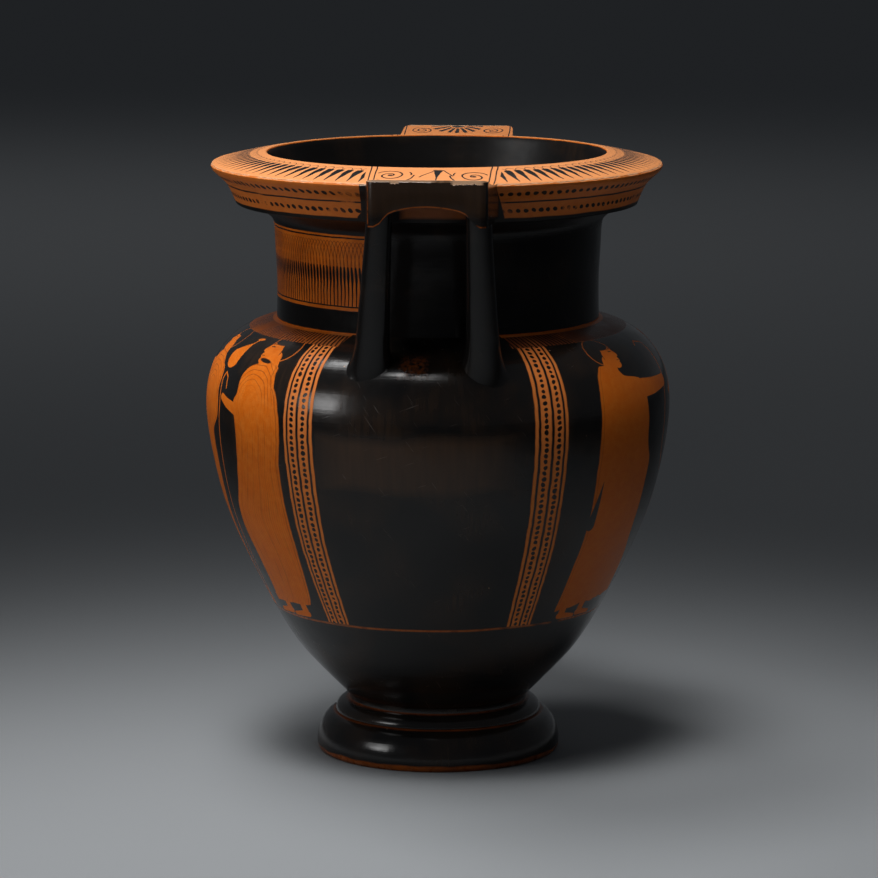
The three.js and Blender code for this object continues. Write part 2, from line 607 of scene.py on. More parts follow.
@dataclass
class Coat:
    """What is painted on one surface, each as a share from 0 to 1.

    clay is where clay is left bare of gloss, and slip_and_shade where thin brown slip lies on it,
    and where clay is darkened as painted shade. wear is rubbed through to clay, and
    chips_and_highlight is where chips are broken to the pale clay within, and where a pale line
    along an edge is partly a painted highlight. misfire is how high the clouds must stand before
    the gloss browns of itself, browned_and_reflection is where it browns besides, and where a
    brown band is painted as a reflection. scratched is how strongly scratches show, matt is how
    dull the gloss is, and tone is how pale the clay is, partly as painted sheen on tops.
    """

    clay: Number = 0.0
    slip_and_shade: Number = 0.0
    wear: Number = 0.0
    chips_and_highlight: Number = 0.0
    misfire: float = 0.56
    browned_and_reflection: Number = 0.0
    scratched: float = 0.4
    matt: Number = 0.0
    tone: Number = 0.0


def fire(brush: Brush, coat: Coat, run: Field, bearing: Field) -> bpy.types.Material:
    """Turns a painted layout into fired pottery: colours, gloss and the surface's fine relief.

    Args:
        brush: the material being painted.
        coat: where clay shows, and where lines, wear, chips and painted shade, sheen, highlights and
            reflection lie.
        run: millimetres along the section's outline.
        bearing: degrees round the pot.

    Returns:
        The finished material.
    """
    clouds = brush.noise(GLOSS.cloud_size, 3, 0.55)
    patches = brush.noise(GLOSS.patch_size, 2)
    fine = brush.noise(CLAY.grain_size, 3, 0.6)
    strokes = brush.noise(1.0, 2, 0.5, brush.vector(bearing * 0.9, run * 0.03))
    rings = brush.noise(1.0, 2, 0.6, brush.vector(bearing * 0.012, run * 0.55))
    # the clay's colour
    clay = brush.mix(clouds.over(0.52, 0.5) * 0.5, CLAY.warm, CLAY.dull)
    clay = brush.mix(fine.over(0.57, 0.35) * 0.4, clay, CLAY.pale)
    # paler clay, partly painted sheen on the tops
    clay = brush.mix(coat.tone, clay, CLAY.light)
    # thin brown slip, and clay darkened as painted shade
    clay = brush.mix(coat.slip_and_shade, clay, CLAY.slip_and_shade)
    # the gloss's colour
    streaks = strokes.over(0.45, 0.5) * 0.8 + 0.2
    misfired = clouds.over(coat.misfire, 0.24) * streaks * GLOSS.misfire_depth
    # the gloss browns here by real misfiring, and in a brown band painted as a reflection on the bowl's
    # belly
    if isinstance(coat.browned_and_reflection, Field):
        misfired = misfired.either(coat.browned_and_reflection * (streaks * 0.4 + 0.6))
    black = brush.mix(misfired, GLOSS.deep, GLOSS.brown)
    scratches = brush.scratches(bearing * 2.6, run).both(clouds.over(0.5, 0.12)) * coat.scratched
    black = brush.mix(scratches * 0.5, black, GLOSS.scratch)
    # both together, with specks, wear, chips and painted edge highlights over them
    colour = brush.mix(coat.clay, black, clay)
    specks = brush.flecks(GLOSS.speck_spacing, GLOSS.speck_reach).both(fine.over(0.5, 0.1))
    colour = brush.mix(specks, colour, GLOSS.speck)
    colour = brush.mix(coat.wear, colour, CLAY.warm)
    colour = brush.mix(coat.chips_and_highlight, colour, CLAY.bare)
    # how dull each place is
    bare = coat.clay if isinstance(coat.clay, Field) else brush.math("ADD", coat.clay, 0.0)
    flat = bare.either(coat.matt)
    gloss_level = ((clouds + patches) * GLOSS.uneven + fine * 0.07 + scratches * 0.2
                   + (GLOSS.roughness - 0.14))
    clay_level = fine * 0.14 + (CLAY.roughness - 0.07)
    level = gloss_level * (1 - flat) + clay_level * flat
    # the relief of the wheel, the grain and the edges of the gloss
    relief = (rings * 0.07 + fine * 0.06 + clouds * 0.7 + patches * 0.22
              - bare * 0.04 - scratches * 0.03)
    if isinstance(coat.chips_and_highlight, Field):
        level = level.either(coat.chips_and_highlight * 0.8)
        relief = relief - coat.chips_and_highlight * 0.6
    bump = brush.add("ShaderNodeBump")
    brush.put(bump.inputs["Strength"], 0.65)
    brush.put(bump.inputs["Distance"], MM)
    brush.put(bump.inputs["Height"], relief)
    shader = brush.add("ShaderNodeBsdfPrincipled")
    brush.put(shader.inputs["Base Color"], colour)
    brush.put(shader.inputs["Roughness"], level)
    brush.put(shader.inputs["Specular IOR Level"], 0.34 - flat * 0.2)
    brush.put(shader.inputs["Normal"], bump.outputs[0])
    output = brush.add("ShaderNodeOutputMaterial")
    brush.put(output.inputs["Surface"], shader.outputs[0])
    return brush.material


# ---- the bowl's profile, which the painting is laid out on -----------------------------
BOWL_OUTLINE: list[Point] = [
    (59.2, 37.6), (76, 54.8), (93.8, 75), (107.2, 96.5), (119.6, 120), (131.6, 144.8),
    (141.5, 170), (148.3, 196.5), (152.4, 221), (153.2, 235), (151.6, 250.5),
    (144.6, 268), (128, 283.2), (106.6, 290.6),
]
BOWL_LINE = smooth_line(BOWL_OUTLINE, 84)
BOWL_RUN = lengths_along(BOWL_LINE)


def run_at(height: float) -> float:
    """Millimetres along the bowl's outline from its foot up to a height."""
    return float(np.interp(height, [p[1] for p in BOWL_LINE], BOWL_RUN))


def radius_at(height: float) -> float:
    """The bowl's radius at a height."""
    return float(np.interp(height, [p[1] for p in BOWL_LINE], [p[0] for p in BOWL_LINE]))


def from_spot(bearing: Field, run: Field, height: float, middle: float, sign: int = 1) -> Place:
    """Measures from a spot of the bowl's wall.

    Args:
        bearing: degrees round the pot.
        run: millimetres up the bowl's outline.
        height: the spot's height.
        middle: the spot's bearing.
        sign: 1 to count onwards round the pot, -1 to count back.

    Returns:
        Millimetres beside and above the spot.
    """
    beside = (bearing - middle) * (mm_per_degree(radius_at(height)) * sign)
    return beside, run - run_at(height)


def mark_run(piece: bpy.types.Object, outline: Sequence[Point]) -> None:
    """Stores on each point of a turned section how far along the outline it lies, in mm.

    Args:
        piece: the section.
        outline: the (radius, height) points that it is measured along.
    """
    known = np.array(outline)
    places = np.array([v.co for v in piece.data.vertices]) / MM
    flat = np.column_stack([np.hypot(places[:, 0], places[:, 1]), places[:, 2]])
    nearest = ((flat[:, None, :] - known[None, :, :]) ** 2).sum(2).argmin(1)
    store = piece.data.attributes.new("run", "FLOAT", "POINT")
    store.data.foreach_set("value", lengths_along(outline)[nearest].astype(np.float32))


# ---- the painted sides ----------------------------------------------------------------
@dataclass(frozen=True)
class Border:
    """The upright border beside a painted side: two rows of dots between black lines.

    Places are degrees from the middle of the painted side; shares run from the side's
    edge of the border to the handle's edge.
    """

    inner: float
    outer: float
    black_lines: tuple[tuple[float, float], ...] = ((0.12, 0.07), (0.475, 0.085), (0.865, 0.078))
    dot_rows: tuple[float, ...] = (0.285, 0.675)
    dot_pitch: float = 3.75
    dot_size: float = 3.0
    dot_stagger: float = 1.9
    wall_radius: float = 146.0

    def paint(self, brush: Brush, offset: Field, run: Field) -> tuple[Field, Field]:
        """The border's clay and its black marks.

        Args:
            brush: the material being painted.
            offset: degrees from the middle of the painted side, always positive.
            run: millimetres up the bowl's outline.

        Returns:
            Where clay is reserved, and where dots and lines are painted back on it.
        """
        reach = self.outer - self.inner
        share = (offset + brush.sway(9, 0.42) - self.inner) / reach
        marks = [share.line(place, width, 0.03) for place, width in self.black_lines]
        breadth = reach * mm_per_degree(self.wall_radius)
        uneven = brush.noise(3.1, 1) * 1.4 + (self.dot_size / 2 - 0.75)
        for number, row in enumerate(self.dot_rows):
            across = (share - row) * breadth + brush.sway(5.3, 1.3, 0)
            up = (run + number * self.dot_stagger + brush.sway(7.7, 2.4, 0)).repeat(self.dot_pitch)
            marks.append(brush.away(across, up).under(uneven, 0.5))
        return share.within(0.0, 1.0, 0.03), joined(marks)


class Facing(Enum):
    """Which way a figure looks round the pot, by the sign of its bearing."""

    LEFT = -1
    RIGHT = 1


@dataclass(frozen=True)
class Figure:
    """A standing youth or man in a long mantle, with a staff, drawn as reserved clay.

    Outlines are (height, degrees) with degrees from the figure's own middle bearing, and
    positive the way round the pot. cloth is how strongly the folds show. notch is where
    the mantle is cut in under the arm: height of its tip, of its foot, and how far forward.
    """

    bearing: float
    facing: Facing
    left: tuple[Point, ...]
    right: tuple[Point, ...]
    head: Point
    head_size: float = 1.0
    beard: bool = False
    staff: tuple[Point, ...] = ()
    staff_width: float = 1.1
    arm: tuple[Point, ...] = ()
    arm_width: float = 7.0
    arm_taper: float = 0.75
    folds: int = 7
    cloth: float = 1.0
    shoulder: Point = (240.0, 4.0)
    hem: float = 110.5
    sole: float = 104.2
    feet: tuple[float, ...] = (-6.5, 3.0)
    notch: tuple[float, float, float] | None = None

    def local(self, bearing: Field, run: Field, spot: Point) -> Place:
        """Millimetres forward of and above a (height, degrees) spot of the figure."""
        return from_spot(bearing, run, spot[0], self.bearing + spot[1], self.facing.value)

    def measure(self, start: Point, end: Point) -> Point:
        """Millimetres forward and up from one (height, degrees) spot to another."""
        scale = mm_per_degree(radius_at((start[0] + end[0]) / 2)) * self.facing.value
        return (end[1] - start[1]) * scale, run_at(end[0]) - run_at(start[0])

    def chain(self, brush: Brush, bearing: Field, run: Field, spots: Sequence[Point], width: float,
              taper: float = 1.0) -> list[Field]:
        """Strokes from each spot to the next.

        Args:
            brush: the material being painted.
            bearing: degrees round the pot.
            run: millimetres up the bowl's outline.
            spots: the (height, degrees) spots, in order.
            width: the first stroke's width at its start.
            taper: each stroke's width at its end, as a share of that at its start.

        Returns:
            The strokes.
        """
        strokes = []
        for start, end in zip(spots, spots[1:]):
            at = self.local(bearing, run, start)
            strokes.append(brush.stroke(at, (0, 0), self.measure(start, end), width, taper))
            width *= taper
        return strokes

    def reach(self, brush: Brush, bearing: Field, run: Field) -> Field:
        """The arm held out in front, and the staff.

        Args:
            brush: the material being painted.
            bearing: degrees round the pot.
            run: millimetres up the bowl's outline.

        Returns:
            Their clay, and nothing for a figure without them.
        """
        arm = self.chain(brush, bearing, run, self.arm, self.arm_width, self.arm_taper)
        staff = self.chain(brush, bearing, run, self.staff, self.staff_width)
        return joined([run.over(BEYOND), *arm, *staff])

    def cloth_lines(self, brush: Brush, bearing: Field, run: Field, span: Field) -> Field:
        """The mantle's folds: long ones, finer ones between, and arcs round the shoulder.

        Args:
            brush: the material being painted.
            bearing: degrees round the pot.
            run: millimetres up the bowl's outline.
            span: 0 at the mantle's left edge to 1 at its right edge.

        Returns:
            Where dilute slip lies.
        """
        waver = brush.sway(70, 0.22)
        fade = brush.noise(19, 2, 0.6).over(0.47, 0.25)
        top = run_at(self.shoulder[0] - 10)
        long = ((span + waver) * self.folds).repeat(1.0)
        fine = ((span + waver * 1.1) * (self.folds * 3.6)).repeat(1.0)
        at = self.local(bearing, run, self.shoulder)
        ring = brush.away(*at, 1.2, 0.85) + brush.sway(14, 4)
        arcs = abs((ring - 1.0).repeat(3.4)).under(0.22, 0.4)
        return joined((abs(long).under(0.035, 0.06) * fade * run.under(top, 30) * 0.55,
                       abs(fine).under(0.10, 0.22) * 0.26 * run.under(top, 40),
                       arcs * ring.within(13, 46, 8) * at[1].over(0, 12) * 0.7)) * self.cloth

    def draw_head(self, brush: Brush, at: Place, clay: Field) -> Field:
        """Draws the head over what is painted: black hair in a thin contour, a plain face.

        Args:
            brush: the material being painted.
            at: millimetres forward of and above the head's middle.
            clay: where clay is reserved so far.

        Returns:
            Where clay is reserved, with the head.
        """
        skull = brush.blob(at, (-2.4, 3.2), (10.8, 10.4), 10)
        contour = brush.blob(at, (-2.4, 3.2), (11.5, 11.1), 10).without(skull)
        nape = brush.stroke(at, (-1.0, -6.0), (-3.6, -24.0), 10.0, 1.3)
        face = brush.blob(at, (3.9, -1.2), (5.5, 8.4), 6)
        fringe = brush.blob(at, (-0.6, 8.0), (9.0, 4.6), -12)
        nose = brush.stroke(at, (8.2, 2.6), (9.9, -1.6), 1.6, 1.5)
        lips = brush.blob(at, (8.3, -5.0), (1.6, 1.9), 0)
        chin = brush.blob(at, (6.3, -8.3), (3.1, 2.2), 15)
        ear = brush.blob(at, (-1.2, -0.6), (1.2, 2.1), 0, 0.3)
        features = joined((face.without(fringe), nose, lips, chin, ear))
        lines = [
            brush.stroke(at, (5.2, 1.5), (7.6, 1.3), 0.7),  # eye
            brush.stroke(at, (5.0, 3.7), (8.2, 3.5), 0.45),  # brow
            brush.stroke(at, (7.2, -5.2), (9.2, -5.3), 0.4),  # mouth
            brush.stroke(at, (-3.2, 1.2), (-2.8, -3.4), 0.5),  # back of the ear
        ]
        if self.beard:
            lines.append(brush.blob(at, (3.6, -8.2), (4.6, 1.3), 8))
        return joined((clay.without(skull), nape, contour * 0.75, features)).without(joined(lines))

    def paint(self, brush: Brush, bearing: Field, run: Field) -> tuple[Field, Field]:
        """Draws the whole figure.

        Args:
            brush: the material being painted.
            bearing: degrees round the pot.
            run: millimetres up the bowl's outline.

        Returns:
            Reserved clay, and thin dilute lines on it.
        """
        place = bearing - self.bearing + brush.sway(11, 0.5)
        left = brush.curve(run, [(run_at(height), degrees) for height, degrees in self.left])
        right = brush.curve(run, [(run_at(height), degrees) for height, degrees in self.right])
        ragged = run + brush.sway(8, 5) - place * 0.12
        mantle = place.within(left, right, 0.35).both(run.under(run_at(self.left[-1][0]), 0.5)).both(
            ragged.over(run_at(self.hem), 0.5))
        folds = self.cloth_lines(brush, bearing, run, (place - left) / (right - left))
        back, inset = (right, 0.9) if self.facing is Facing.LEFT else (left, -0.9)
        edge = abs(place - back + inset).under(0.14, 0.2) * 0.55
        clay = mantle
        if self.notch:
            tip, foot, forward = self.notch
            clay = clay.without(brush.stroke(self.local(bearing, run, (foot, 0.0)), (forward, 0),
                                             (forward + 4.6, run_at(tip) - run_at(foot)), 7.4, 0.04))
        at = self.local(bearing, run, self.head)
        if self.head_size != 1.0:
            at = (at[0] / self.head_size, at[1] / self.head_size)
        shapes = [self.draw_head(brush, at, clay)]
        for degrees in self.feet:
            at = self.local(bearing, run, (self.sole, degrees))
            shapes.append(brush.stroke(at, (-4.5, 0.6), (9.5, -1.2), 5.4, 0.55))
            shapes.append(brush.stroke(at, (-3.2, 1.0), (-3.2, 9.0), 6.4, 0.9))
        shapes.append(self.reach(brush, bearing, run))
        return joined(shapes), folds.either(edge).both(mantle)


@dataclass(frozen=True)
class Hanging:
    """A small bag hung in the field between two figures."""

    height: float
    bearing: float
    lean: float = 0.0

    def paint(self, brush: Brush, bearing: Field, run: Field) -> Field:
        """The bag's clay: a drop, a neck and a looped thong.

        Args:
            brush: the material being painted.
            bearing: degrees round the pot.
            run: millimetres up the bowl's outline.

        Returns:
            Where clay is reserved.
        """
        at = from_spot(bearing, run, self.height, self.bearing)
        over, up = math.sin(math.radians(self.lean)), math.cos(math.radians(self.lean))
        body = brush.stroke(at, (-over * 4, -up * 4), (over * 9, up * 9), 17.0, 0.2)
        thong = brush.stroke(at, (over * 9, up * 9), (over * 17, up * 17), 1.5)
        knot = brush.blob(at, (over * 17.5, up * 17.5), (4.2, 1.3), 10)
        return joined((body, thong, knot))


SIDE_A_FIGURES = (
    Figure(
        bearing=-50, facing=Facing.LEFT,
        left=((104, -12.5), (109.5, -14.5), (115, -11.2), (137.6, -10.2), (165, -11.2), (188, -7.7),
              (200, -6), (212, -4.8), (227, -4.2), (238, -5), (245, -5.5), (251.7, -4.2),
              (260.5, -4.2), (266, -3.2), (271.6, 1.2), (273.6, 3.2)),
        right=((104, 1.0), (119.5, 10.2), (156, 12), (187, 11.8), (206, 11.8), (218, 12.5),
               (232.6, 13), (246, 12.2), (255.6, 10.8), (264, 8.8), (269.7, 9), (271.6, 7.5), (273.6, 4.2)),
        head=(280.0, 4.6), head_size=1.25, beard=True, shoulder=(246.0, 1.5),
        arm=((239.5, -3.0), (243.0, -9.0), (246.0, -12.0)), arm_width=8.5,
        staff=((252.0, -10.6), (259.0, -11.4), (261.5, -13.2), (257.0, -14.2), (240.0, -13.4),
               (196.0, -15.5), (150.0, -17.2), (102.0, -21.0)),
    ),
    Figure(
        bearing=-77, facing=Facing.LEFT,
        left=((104, -12.5), (115, -12.2), (137.6, -11.2), (165, -10.2), (188, -9.7),
              (212, -7.8), (238, -8), (251.7, -7.2), (266, -3.2), (272.6, 1.2)),
        right=((104, 2.0), (119.5, 3.2), (156, 5), (194, 7.0), (220, 7.5), (237, 12.2), (250, 11.5),
               (258, 11.8), (266, 9), (272.6, 4.5)),
        head=(279.0, 3.0), arm=((262.0, -5.0), (258.0, -14.0), (268.0, -18.0)), arm_width=6.5,
        staff=((270.0, -17.6), (200.0, -17.0), (102.0, -18.0)),
    ),
    Figure(
        bearing=-126, facing=Facing.RIGHT,
        left=((104, -1.0), (119.5, -10.2), (156, -12), (187, -11.8), (206, -11.8), (232.6, -13),
              (246, -12.2), (255.6, -10.8), (264, -8.8), (271.6, -7.5), (273.6, -4.2)),
        right=((104, 12.5), (109.5, 14.5), (137.6, 11.2), (165, 11.2), (188, 8.7), (212, 5.8),
               (238, 6), (251.7, 5.2), (266, 4.2), (273.6, -2.2)),
        head=(279.0, -3.0),
        arm=((247.0, 4.5), (246.0, 11.0), (250.0, 15.0)), arm_width=6.0,
        staff=((252.0, 15.0), (196.0, 15.5), (150.0, 16.2), (102.0, 17.0)),
    ),
)
SIDE_B_FIGURES = (
    Figure(
        bearing=58, facing=Facing.RIGHT,
        left=((104.6, -12), (139, -11.2), (160, -10.5), (179, -10.4), (199.4, -10.6), (225.5, -10.5),
              (249.7, -10.2), (260, -9.8), (268.9, -8.2), (271.0, -7.0)),
        right=((104.6, 22), (134, 18.2), (161, 13.5), (190.5, 12.8), (203, 12.8), (218, 10.2),
               (236.6, 9.5), (247.7, 9.0), (258.6, 8.0), (264, 0.5), (271.0, -1.5)),
        head=(277.0, -2.2), head_size=1.1, shoulder=(252.0, -4.0), folds=6,
        arm=((254.0, 2.0), (253.0, 14.0), (253.5, 23.2)), arm_width=14.5, cloth=0.45,
        staff=((189.5, 27.0), (213.0, 22.2), (235.0, 22.0), (260.0, 24.0), (271.0, 23.8),
               (278.0, 22.5), (279.6, 18.2), (277.6, 16.5)),
        notch=(197.0, 168.0, -23.5),
    ),
    Figure(
        bearing=98, facing=Facing.LEFT,
        left=((104, -12.5), (137.6, -11.2), (165, -11.2), (188, -9.7), (212, -8.8), (238, -8),
              (251.7, -7.2), (266, -5.2), (272.6, -1.0)),
        right=((104, 9.0), (156, 10), (187, 11.0), (232.6, 12), (255.6, 10.8), (266, 8), (272.6, 4.2)),
        head=(279.0, 2.0), arm=((250.0, -5.0), (244.0, -10.0)), arm_width=6.0,
    ),
    Figure(
        bearing=128, facing=Facing.LEFT,
        left=((104, -12.5), (137.6, -10.2), (165, -9.2), (188, -8.7), (212, -7.8), (238, -7),
              (251.7, -6.2), (266, -4.2), (272.6, 0.2)),
        right=((104, 9.0), (156, 10), (187, 10.0), (232.6, 11), (255.6, 9.8), (266, 7), (272.6, 4.2)),
        head=(278.0, 2.0), arm=((248.0, -4.0), (247.0, -10.0), (252.0, -13.0)), arm_width=6.0,
        staff=((254.0, -13.0), (196.0, -14.5), (102.0, -16.0)),
    ),
)


@dataclass
class Bowl:
    """The bowl: its wall, its two painted sides with their borders, and its black rest.

    Zones are bearings, in degrees from the near handle either way round.
    """

    wall: float = 6.2
    floor_radius: float = 44.0
    neck_radius: float = 106.6
    shoulder_height: float = 290.6
    shoulder_thickness: float = 6.5
    ring_height: float = 289.9
    ring_half_width: float = 66.0
    ground_height: float = 100.8
    tongue_height: float = 285.0
    tongue_pitch: float = 1.45
    border_a: Border = Border(54.5, 63.0)
    border_b: Border = Border(52.8, 61.8)
    painted_from: float = 98.0
    black_until: float = 26.2
    zone_ends_a: tuple[float, ...] = (62.5, 72.2, 104.0)
    zone_ends_b: tuple[float, ...] = (85.2, 110.6)

    def build(self) -> bpy.types.Object:
        """Throws the bowl as one closed shell, wall and floor.

        Returns:
            The bowl, painted.
        """
        line = BOWL_LINE
        inner = []
        for i in range(len(line) - 1, 0, -3):
            (r0, z0), (r1, z1) = line[i - 1], line[i]
            length = math.hypot(r1 - r0, z1 - z0)
            inner.append((r1 - (z1 - z0) / length * self.wall, z1 + (r1 - r0) / length * self.wall))
        inner = [(radius, height) for radius, height in inner if radius > self.floor_radius
                 and height < self.shoulder_height - self.shoulder_thickness]
        throat = self.neck_radius - self.wall
        outline = ([(0, 33), (50, 34)] + line
                   + [(throat + 3, 291.6), (throat, 291.8), (throat + 1.2, 288.6)]
                   + inner + [(30, 48), (0, 47)])
        piece = turn_on_wheel("bowl", outline)
        mark_run(piece, line)
        settle(piece)
        smooth(piece)
        self.dress(piece)
        return piece

    def ground_line(self, brush: Brush, run: Field) -> Field:
        """The thin reserved line that the figures stand on, worn away in places."""
        line = (run + brush.sway(30, 1.2)).line(run_at(self.ground_height), 1.5, 0.8)
        return line * brush.noise(13, 1).over(0.38, 0.2) * 0.45

    def black(self) -> bpy.types.Material:
        """Paints all that is black on the bowl, rubbed below the near handle, with a brown band painted
        across the belly there as a reflection.

        Returns:
            The zone's material.
        """
        brush = Brush("bowl_black")
        x, y, z = brush.axes()
        bearing, run = brush.bearing(x, y), brush.attribute("run")
        beside = abs(bearing + 2)
        # painted reflection: a soft brown band across the belly below the near handle
        painted_reflection = beside.under(23, 12).both((z + brush.noise(60, 1) * 16).within(205, 242, 9))
        rubbed = beside.under(3.2, 2.5).both(z.within(271, 281, 5))
        coat = Coat(clay=self.ground_line(brush, run), browned_and_reflection=painted_reflection * 0.8, scratched=1.0,
                    wear=rubbed * brush.noise(2.2, 2).over(0.5, 0.3) * 0.16)
        return fire(brush, coat, run, bearing)

    def tongues(self, brush: Brush, bearing: Field, run: Field, offset: Field,
                border: Border) -> tuple[Field, Field]:
        """The band of short strokes on the shoulder, faint in places.

        Args:
            brush: the material being painted.
            bearing: degrees round the pot.
            run: millimetres up the bowl's outline.
            offset: degrees from the middle of the painted side, always positive.
            border: the border that ends the band.

        Returns:
            The whole band, and the strokes on it.
        """
        foot = run_at(self.tongue_height)
        lean = (run - foot) * 0.07
        bars = abs((bearing + lean + brush.sway(8, 0.8)).repeat(self.tongue_pitch)).under(0.3, 0.2)
        faint = brush.noise(30, 2).over(0.46, 0.2) * 0.8 + offset.over(44, 14)
        band = run.within(foot, run_at(290.0), 0.6).both(offset.under(border.outer + 1.2, 0.6))
        return band, bars.both(faint)

    def painted(self, name: str, side: Side, figures: Sequence[Figure],
                hangings: Iterable[Hanging] = (),
                reaching: Iterable[Figure] = ()) -> bpy.types.Material:
        """Paints one zone of a painted side.

        Args:
            name: name of the zone's material.
            side: which painted side it belongs to.
            figures: the figures drawn in the zone.
            hangings: the bags hung in it.
            reaching: figures of the next zone, of which only an arm and staff reach into it.

        Returns:
            The zone's material.
        """
        brush = Brush(name)
        x, y, _ = brush.axes()
        bearing, run = brush.bearing(x, y), brush.attribute("run")
        offset = abs(bearing - 90 * side.value)
        border = self.border_a if side is Side.A else self.border_b
        base = run_at(self.ground_height + 0.8)
        tall = run.within(base, run_at(self.tongue_height), 0.6)
        strip, marks = border.paint(brush, offset, run)
        band, bars = self.tongues(brush, bearing, run, offset, border)
        drawn = [figure.paint(brush, bearing, run) for figure in figures]
        ring = run.over(run_at(self.ring_height), 0.5).both(offset.under(self.ring_half_width, 1))
        clay = [self.ground_line(brush, run), strip.without(marks).both(tall), band.without(bars)]
        clay += [shape.both(run.over(base, 0.6)) for shape, _ in drawn]
        clay += [figure.reach(brush, bearing, run) for figure in reaching]
        clay += [bag.paint(brush, bearing, run) for bag in hangings]
        clay.append(ring * 0.85)
        slip_and_shade = [lines for _, lines in drawn]
        # brown slip on the tongue band; side B's heavier share of it is painted shade
        slip_and_shade.append(band.both(brush.noise(22, 2).over(0.2, 0.4)) * (0.7 if side is Side.A else 0.95))
        # painted shade: side B's whole field inside its border is darkened with slip
        if side is Side.B:
            slip_and_shade.append(tall.both(offset.under(border.inner, 1)) * 0.22)
        coat = Coat(clay=joined(clay), slip_and_shade=joined(slip_and_shade), scratched=0.5, tone=strip * 0.3)
        return fire(brush, coat, run, bearing)

    def dress(self, piece: bpy.types.Object) -> None:
        """Gives each zone of the bowl its own painted material.

        Args:
            piece: the bowl.
        """
        bags = (Hanging(274.0, -62.0, 34.0),)
        zones = [
            self.black(),
            self.painted("side_a_near", Side.A, SIDE_A_FIGURES[:1], bags),
            self.painted("side_a_between", Side.A, SIDE_A_FIGURES[1:2], bags, SIDE_A_FIGURES[:1]),
            self.painted("side_a_middle", Side.A, SIDE_A_FIGURES[1:2]),
            self.painted("side_a_far", Side.A, SIDE_A_FIGURES[2:]),
            self.painted("side_b_near", Side.B, SIDE_B_FIGURES[:1]),
            self.painted("side_b_middle", Side.B, SIDE_B_FIGURES[1:2]),
            self.painted("side_b_far", Side.B, SIDE_B_FIGURES[2:]),
        ]
        piece.data.materials.clear()
        for zone in zones:
            piece.data.materials.append(zone)
        first_b = 2 + len(self.zone_ends_a)
        for face in piece.data.polygons:
            middle = face.center / MM
            angle = math.degrees(math.atan2(middle.x, -middle.y))
            outwards = face.normal.x * middle.x + face.normal.y * middle.y > 0 or (
                face.normal.z > 0.5 and middle.z > 270)
            span = abs(angle)
            if middle.z < self.painted_from or not outwards or not (
                    self.black_until < span < 180 - self.black_until):
                face.material_index = 0
            elif angle < 0:
                face.material_index = 1 + sum(span >= end for end in self.zone_ends_a)
            else:
                face.material_index = first_b + sum(span >= end for end in self.zone_ends_b)


@dataclass
class Foot:
    """The turned foot: a bulging disc, a step and a fillet under the bowl."""

    hollow_height: float = 27
    rest_inner: float = 66
    rest_outer: float = 79.2
    disc_radius: float = 80.8
    disc_belly: float = 5
    ledge_radius: float = 68.6
    ledge_height: float = 25.8
    waist_radius: float = 60.4
    waist_height: float = 34.2

    def build(self) -> bpy.types.Object:
        """Throws the foot, hollow below.

        Returns:
            The foot, painted.
        """
        under = smooth_line([(0, self.hollow_height), (30, 22), (52, 15), (62, 4)], 14)
        disc = quarter_round(self.ledge_radius - 1, self.disc_radius, self.disc_belly,
                             self.ledge_height, 16)
        fillet = quarter_round(self.waist_radius - 1, self.ledge_radius - 0.2,
                               self.ledge_height + 0.6, self.waist_height, 10)
        outline = (under + [(64, 0.9), (self.rest_inner, 0), (self.rest_outer - 1, 0),
                            (self.rest_outer, 0.5), (self.disc_radius - 0.3, 2.6)]
                   + disc + [(self.ledge_radius - 0.8, self.ledge_height - 0.3)]
                   + fillet + [(59.0, 34.4), (58.8, 36.5), (60, 39), (0, 39)])
        piece = turn_on_wheel("foot", outline)
        smooth(piece)
        self.dress(piece)
        return piece

    def dress(self, piece: bpy.types.Object) -> None:
        """Paints the foot black, but for clay at its rest, in its hollow and along its steps.

        Args:
            piece: the foot.
        """
        brush = Brush("foot_black")
        x, y, z = brush.axes()
        radius = brush.away(x, y)
        wave = brush.sway(17, 3.2, 2)
        band = (z + wave).under(4.0, 1.2).both(radius.over(60, 2)) * (brush.noise(14, 2) * 0.5 + 0.2)
        height = z + wave * 0.15
        ledge = height.line(self.ledge_height - 0.1, 0.6, 0.5).both(radius.over(66, 1))
        waist = height.line(self.waist_height + 0.1, 0.55, 0.5).both(radius.over(55, 1))
        hollow = z.under(self.hollow_height + 2, 1).both(radius.under(64.5, 1))
        slip_and_shade = z.over(8, 4) * 0.35 + brush.noise(9, 2).over(0.35, 0.4) * 0.4
        coat = Coat(clay=joined((band, ledge * 0.7, waist * 0.6, hollow * 0.9)), slip_and_shade=slip_and_shade)
        piece.data.materials.append(fire(brush, coat, z, brush.bearing(x, y)))


